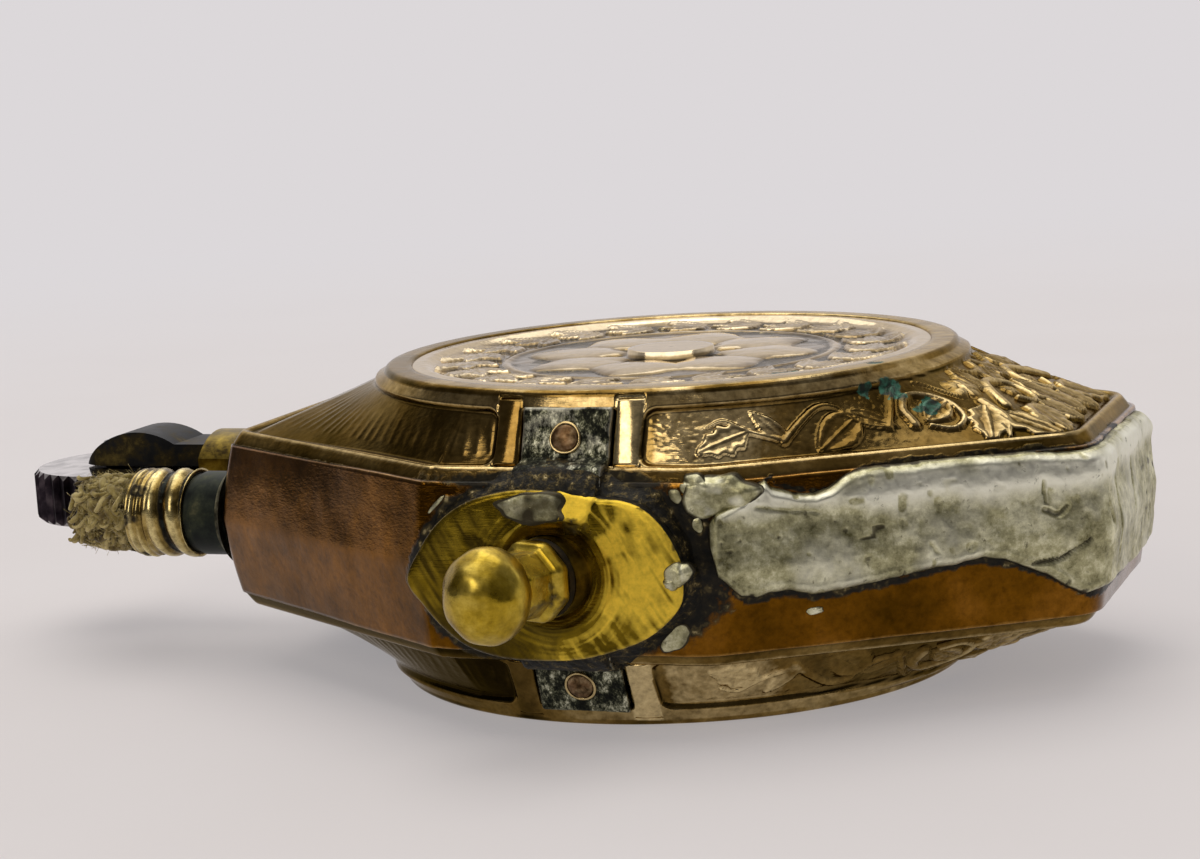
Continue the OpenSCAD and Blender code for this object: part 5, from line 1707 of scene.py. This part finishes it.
# %% Wick
def wick():
    rng = np.random.default_rng(7)
    parts, depth = [], []
    # Each strand's depth darkens it by how deep it lies in the wick, as painted shade; loose
    # fibres get less than none and come out paler.
    for kind in (yarns, tufts, fibres):
        for path, radius, sides, deep in kind(rng):
            parts.append(closed_grid(tube(path, radius, sides)))
            depth.append(np.append(np.repeat(deep, sides), [deep[0], deep[-1]]))
    piece("frayed_wick", *joined(parts), wick_cotton, "wick_cotton", replaces=["wick"],
          values={"depth": np.concatenate(depth)})


wick()

# %% [markdown]
# ## The wadding
# Inside, a wad of cotton holds the petrol. It is one lumpy shape with creases, kept clear of
# the flint tube and the filler bush. A cloth simulation would cost minutes for a piece that
# only shows when the case is taken off.

# %% Wadding
WAD_X = (-12.6, 21.6)
WAD_HALF = ([-12.6, -8, 4, 12, 21.6], [11.5, 12.6, 12.8, 12.4, 5.5])  # x, half its width
WAD_RISE, WAD_SQUARE = 6.4, 0.6  # half its height, and how square its section is


def wadding():
    s = np.linspace(0, 1, 80)
    x = mix(*WAD_X, s)
    turn = 2 * math.pi * np.arange(150) / 150
    ends = np.clip(1 - np.abs(2 * s - 1) ** 5, 0.02, 1) ** 0.5
    c, n = (np.sign(v) * np.abs(v) ** WAD_SQUARE for v in (np.cos(turn), np.sin(turn)))
    y = c * (np.interp(x, *WAD_HALF) * ends)[:, None]
    z = MID_Z + n * (WAD_RISE * ends)[:, None]
    grid = np.stack([x[:, None] + 0 * y, y, z], -1)
    lump = layers(grid, (0.5, 4, 151), (0.25, 1.7, 152)) \
        - 0.3 * np.abs(noise(grid, 2.2, 153)) ** 0.5
    grid += unit((grid - [0, 0, MID_Z]) * [0, 1, 1]) * lump[..., None]
    tube_gap = np.hypot(grid[..., 1] - FLINT_Y, grid[..., 2] - TUBE_Z)
    grid[..., 0] = np.maximum(grid[..., 0], -16.5 + 0.25 * noise(grid, 1, 154)
                              + 6 * step(3.6, 2.4, tube_gap))
    wad = cotton("cotton_wadding", [(0.1, "#6b6148"), (0.4, "#b3a98a"), (0.7, "#d9d2bc")])
    # The creases are darkened through the depth attribute: painted shade.
    piece("cotton_wad", *closed_grid(grid), wad, "wadding_cotton", replaces=["wadding"],
          values={"depth": np.clip(-lump * 0.5, 0, 1)})


wadding()

# %% [markdown]
# ## Finishes of the remaining CAD parts
# The tubes, the fork, the wheel and the small parts inside keep their CAD shape, because it
# is already exact. They only get their finish. Most are a metal whose colour and gloss drift
# together with one noise pattern, as wide as its real stains.

# %% Plain finishes
def plain_metal(name, stops, mm, shine, metallic):
    """A finish with clouds of the given size, their roughness, and how metallic it is."""
    material, tree, main, place = start(name, Metallic=metallic,
                                        Specular_IOR_Level=0.5 if metallic else 0.2)
    cloud = add(tree, "TexNoise", {"Vector": place, "Scale": per_mm(mm), "Detail": 6.0,
                                   "Roughness": 0.65})
    tone = add(tree, "ValToRGB", {"Fac": cloud}, stops=stops)
    haze = add(tree, "MapRange", {"Value": cloud, "From Min": 0.3, "From Max": 0.7,
                                  "To Min": shine[0], "To Max": shine[1]})
    bump = add(tree, "Bump", {"Strength": 0.4, "Distance": 0.05 * MM, "Height": cloud})
    feed(tree, main, {"Base Color": tone, "Roughness": haze, "Normal": bump})
    return material


def finish(material, *names):
    for name in names:
        nodes[name].data.materials.clear()
        nodes[name].data.materials.append(material)
    print(material.name, "on", *names)


PLAIN_FINISHES = [
    # Oiled steel is a dark olive with a dull gloss, brownish where the oil has dried.
    ("oiled_tube_steel", [(0.35, "#0f1310"), (0.5, "#1f241d"), (0.62, "#333729"),
                          (0.75, "#5d5a40")], 1.2, (0.42, 0.6), 0.8, ["wick_tube"]),
    # Forging scale is blue-black, with rust that shows as brown clouds of 2 mm.
    ("forged_steel", [(0.35, "#0b0c10"), (0.5, "#18191a"), (0.6, "#322a14"),
                      (0.72, "#66582b")], 2.0, (0.42, 0.62), 0.8, ["upper_cheek", "lower_cheek"]),
    # A turned pin is cleaner and greyer.
    ("turned_pin_steel", [(0.4, "#3a3c3a"), (0.65, "#6a6a62")], 0.8, (0.3, 0.4), 1.0,
     ["wheel_axle"]),
    # Brass inside the case is brown with yellow patches, as nobody rubs it.
    ("turned_brass", [(0.35, "#2a210c"), (0.5, "#66551f"), (0.7, "#9c8638")], 1.5, (0.3, 0.45),
     1.0, ["filler_bush", "fork_block", "flint_tube", "tube_cap", "flint_plunger"]),
    # Flint alloy is a dark grey, half dulled by its oxide.
    ("flint_alloy", [(0.4, "#34322f"), (0.65, "#5a5650")], 0.5, (0.5, 0.65), 0.5, ["flint"]),
    # Leather is no metal. Soaked in petrol it is nearly black, with pores of 0.6 mm.
    ("oiled_leather", [(0.35, "#0f0b04"), (0.5, "#1e1607"), (0.7, "#382a10")], 0.6,
     (0.55, 0.7), 0.0, ["filler_washer"]),
    # Nothing rubs the fillets' solder, so it is darker than the patch.
    ("tarnished_solder", [(0.35, "#2c2b22"), (0.5, "#5a5745"), (0.7, "#8f8b74")], 0.8,
     (0.4, 0.5), 1.0, ["tube_fillets"]),
]
for name, stops, mm, shine, metallic, parts in PLAIN_FINISHES:
    finish(plain_metal(name, stops, mm, shine, metallic), *parts)

# %% [markdown]
# The striker wheel needs two finishes on one mesh. Its flat sides are ground bright and its
# teeth are dark with soot, and the two are told apart by which way a face looks: the sides
# look along Z.

# %% Striker wheel
def file_cut_steel():
    material, tree, main, place = start("file_cut_steel", Metallic=1.0)
    facing = add(tree, "SeparateXYZ", {0: add(tree, "TexCoord").outputs["Normal"]})
    level = add(tree, "Math", {0: facing.outputs["Z"]}, operation="ABSOLUTE")
    flat = add(tree, "MapRange", {"Value": level, "From Min": 0.6, "From Max": 0.95})
    soot = add(tree, "TexNoise", {"Vector": place, "Scale": per_mm(0.9), "Detail": 6.0})
    dark, light = (add(tree, "ValToRGB", {"Fac": soot}, stops=stops)
                   for stops in ([(0.35, "#1f1a1f"), (0.5, "#332c32"), (0.7, "#5c5256")],
                                 [(0.3, "#8d8783"), (0.6, "#cfcac5")]))
    shade = add(tree, "Mix", {0: flat, 6: dark, 7: light}, data_type="RGBA")
    haze = add(tree, "MapRange", {"Value": flat, "To Min": 0.45, "To Max": 0.1})
    feed(tree, main, {"Base Color": shade, "Roughness": haze})
    return material


finish(file_cut_steel(), "striker_wheel")

# %% [markdown]
# ## The flint spring
# The spring sits between the plunger, which moves with the flint, and the cap that closes its
# tube.

# %% Flint spring
SPRING_X = (-27.445, -18.485)  # middle of the wire at the plunger and at the cap
SPRING_R, WIRE_R, COILS, CLOSED = 0.975, 0.175, 9, 0.37
STEPS, SIDES = 24, 8  # points of the wire per coil, and round it


def flint_spring():
    turns = np.linspace(0, COILS, COILS * STEPS + 1)
    turn = 2 * math.pi * turns
    out = np.stack([0 * turn, np.cos(turn), np.sin(turn)], -1)
    middle = SPRING_R * out + [0, FLINT_Y, TUBE_Z]
    middle[:, 0] = np.interp(turns, [0, 1, COILS - 1, COILS],
                             [SPRING_X[0], SPRING_X[0] + CLOSED, SPRING_X[1] - CLOSED,
                              SPRING_X[1]])
    around = 2 * math.pi * np.arange(SIDES)[:, None] / SIDES
    wire = middle[:, None] + WIRE_R * (
        np.cos(around) * out[:, None] + np.sin(around) * np.array([1.0, 0, 0]))
    # Drawn wire is a plain light grey with a clean gloss.
    drawn = plain_metal("spring_wire", [(0.4, "#6f7274"), (0.65, "#9a9d9f")], 0.4,
                        (0.25, 0.35), 1.0)
    spring = piece("flint_spring_coils", *closed_grid(wire), drawn, "spring_steel", body=None,
                   replaces=["flint_spring"])
    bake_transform(spring)


flint_spring()

# %% [markdown]
# ## The paper
# The lighter lay on white paper, which runs far back and to the right. It ends half a metre
# in front of the lighter and to its left, so that polished metal there mirrors a dim room.
# Paper is matt and faintly grained. Light Path lets it glow evenly where the camera or a
# reflection sees it, more with the distance, so the background stays white with no more
# light on the object, and the shadow under the case stays too.

# %% Paper
BACKDROP = "#dcd8da"
PAPER_FROM, PAPER_TO, PAPER_LINES = -480, 4000, 61


def white_paper():
    material, tree, main, place = start("matt_white_paper", Roughness=0.9)
    away = add(tree, "VectorMath", {0: place}, operation="LENGTH")
    grain = add(tree, "TexNoise", {"Vector": place, "Scale": per_mm(30), "Detail": 3.0})
    tone = add(tree, "ValToRGB", {"Fac": grain}, stops=[(0.3, "#dbd5d2"), (0.7, "#dfdad8")])
    feed(tree, main, {"Base Color": tone})
    rays = add(tree, "LightPath").outputs
    seen = add(tree, "Math", {0: rays["Is Camera Ray"], 1: rays["Is Glossy Ray"]},
               operation="MAXIMUM")
    near = add(tree, "Math", {0: rays["Is Glossy Ray"], 1: 0.1, 2: 0.42},
               operation="MULTIPLY_ADD")
    far = add(tree, "MapRange", {"Value": away, "From Min": 0.06, "From Max": 0.3,
                                 "To Min": near}, interpolation_type="SMOOTHSTEP")
    share = add(tree, "Math", {0: seen, 1: far}, operation="MULTIPLY")
    glow = add(tree, "Emission", {"Color": linear(BACKDROP)})
    both = add(tree, "MixShader", {0: share, 1: main, 2: glow})
    feed(tree, tree.nodes["Material Output"], {"Surface": both})
    return material


lines = np.linspace(PAPER_FROM, PAPER_TO, PAPER_LINES)
grid = np.stack(np.meshgrid(lines, lines, [0.0], indexing="ij"), -1)
sheet = mesh_object("paper", grid.reshape(-1, 3),
                    grid_faces(PAPER_LINES, PAPER_LINES, ring=False)[:, ::-1], white_paper())
print("paper in mm:", PAPER_FROM, "to", PAPER_TO)

# %% [markdown]
# ## The room
# The world is what polished metal mirrors: bright above and behind the object, and dim on
# the viewer's side up to half height. That contrast is what makes the rim look like metal.
# The camera itself sees the backdrop's colour instead.

# %% Room
def room():
    world = bpy.data.worlds.new("room")
    bpy.context.scene.world = world
    world.use_nodes = True
    tree = world.node_tree
    way = add(tree, "SeparateXYZ", {0: add(tree, "TexCoord").outputs["Generated"]})
    high, behind = (add(tree, "MapRange", {"Value": way.outputs[axis], "From Min": none,
                                           "From Max": full}, interpolation_type="SMOOTHSTEP")
                    for axis, none, full in (("Z", 0.5, 0.9), ("Y", 0.1, 0.5)))
    low = add(tree, "MapRange", {"Value": behind, "To Min": 0.14, "To Max": 1.12})
    glow = add(tree, "Mix", {0: high, 2: low, 3: 0.5})
    seen = add(tree, "LightPath").outputs["Is Camera Ray"]
    level = add(tree, "Mix", {0: seen, 2: glow, 3: 1.0})
    feed(tree, tree.nodes["Background"], {"Color": linear(BACKDROP), "Strength": level})


room()
print("world:", bpy.context.scene.world.name)

# %% [markdown]
# ## Lamps and camera
# Three wide lamps stand for a window behind, the ceiling, and a doorway in front on the left.
# Wide lamps give the soft shadow of a bright room, and long highlights on rounded metal. The
# camera stands where the edges of the case, measured in the photograph, all fit.

# %% Lamps and camera
LAMPS = [("window", (-0.6, 1.2, 1.5), 1.4, 5, "#fffdf8"),
         ("ceiling", (-0.15, 0.2, 1.5), 1.7, 12.5, "#fffaf4"),
         ("doorway", (-0.42, -1.28, 0.87), 0.8, 5.2, "#fff6ea")]  # place, metres wide, watts
LAMPS_AIM = np.array([0, 0, 0.009])
CAMERA_RIGHT, CAMERA_BACK = (0.935751, 0.347762, -0.058577), (0.352660, -0.922437, 0.157291)
CAMERA_MM, CAMERA_LENS = (51.15, -145.87, 37.87), 81.76


def placed(name, data, right, back, spot):
    """Adds a lamp or camera at a spot; both look against their back direction."""
    thing = bpy.data.objects.new(name, data)
    turned_to = np.array([right, np.cross(back, right), back]).T
    thing.matrix_world = Matrix([[*c, p] for c, p in zip(turned_to, spot)] + [[0, 0, 0, 1]])
    bpy.context.scene.collection.objects.link(thing)
    return thing


for name, spot, size, watts, colour in LAMPS:
    data = bpy.data.lights.new(name, "AREA")
    data.shape, data.size, data.energy, data.color = "DISK", size, watts, linear(colour)[:3]
    back = -unit(LAMPS_AIM - np.array(spot))
    placed(name, data, unit(np.cross([0, 0, 1.0], back)), back, spot)
back = unit(CAMERA_BACK)
up = unit(np.cross(back, CAMERA_RIGHT))
data = bpy.data.cameras.new("camera")
data.lens, data.sensor_width, data.clip_start = CAMERA_LENS, 36.0, 0.01
bpy.context.scene.camera = placed("camera", data, np.cross(up, back), back,
                                  np.array(CAMERA_MM) * MM)
bpy.context.scene.view_settings.view_transform = "Standard"
print("lamps:", len(LAMPS), "lens:", CAMERA_LENS)
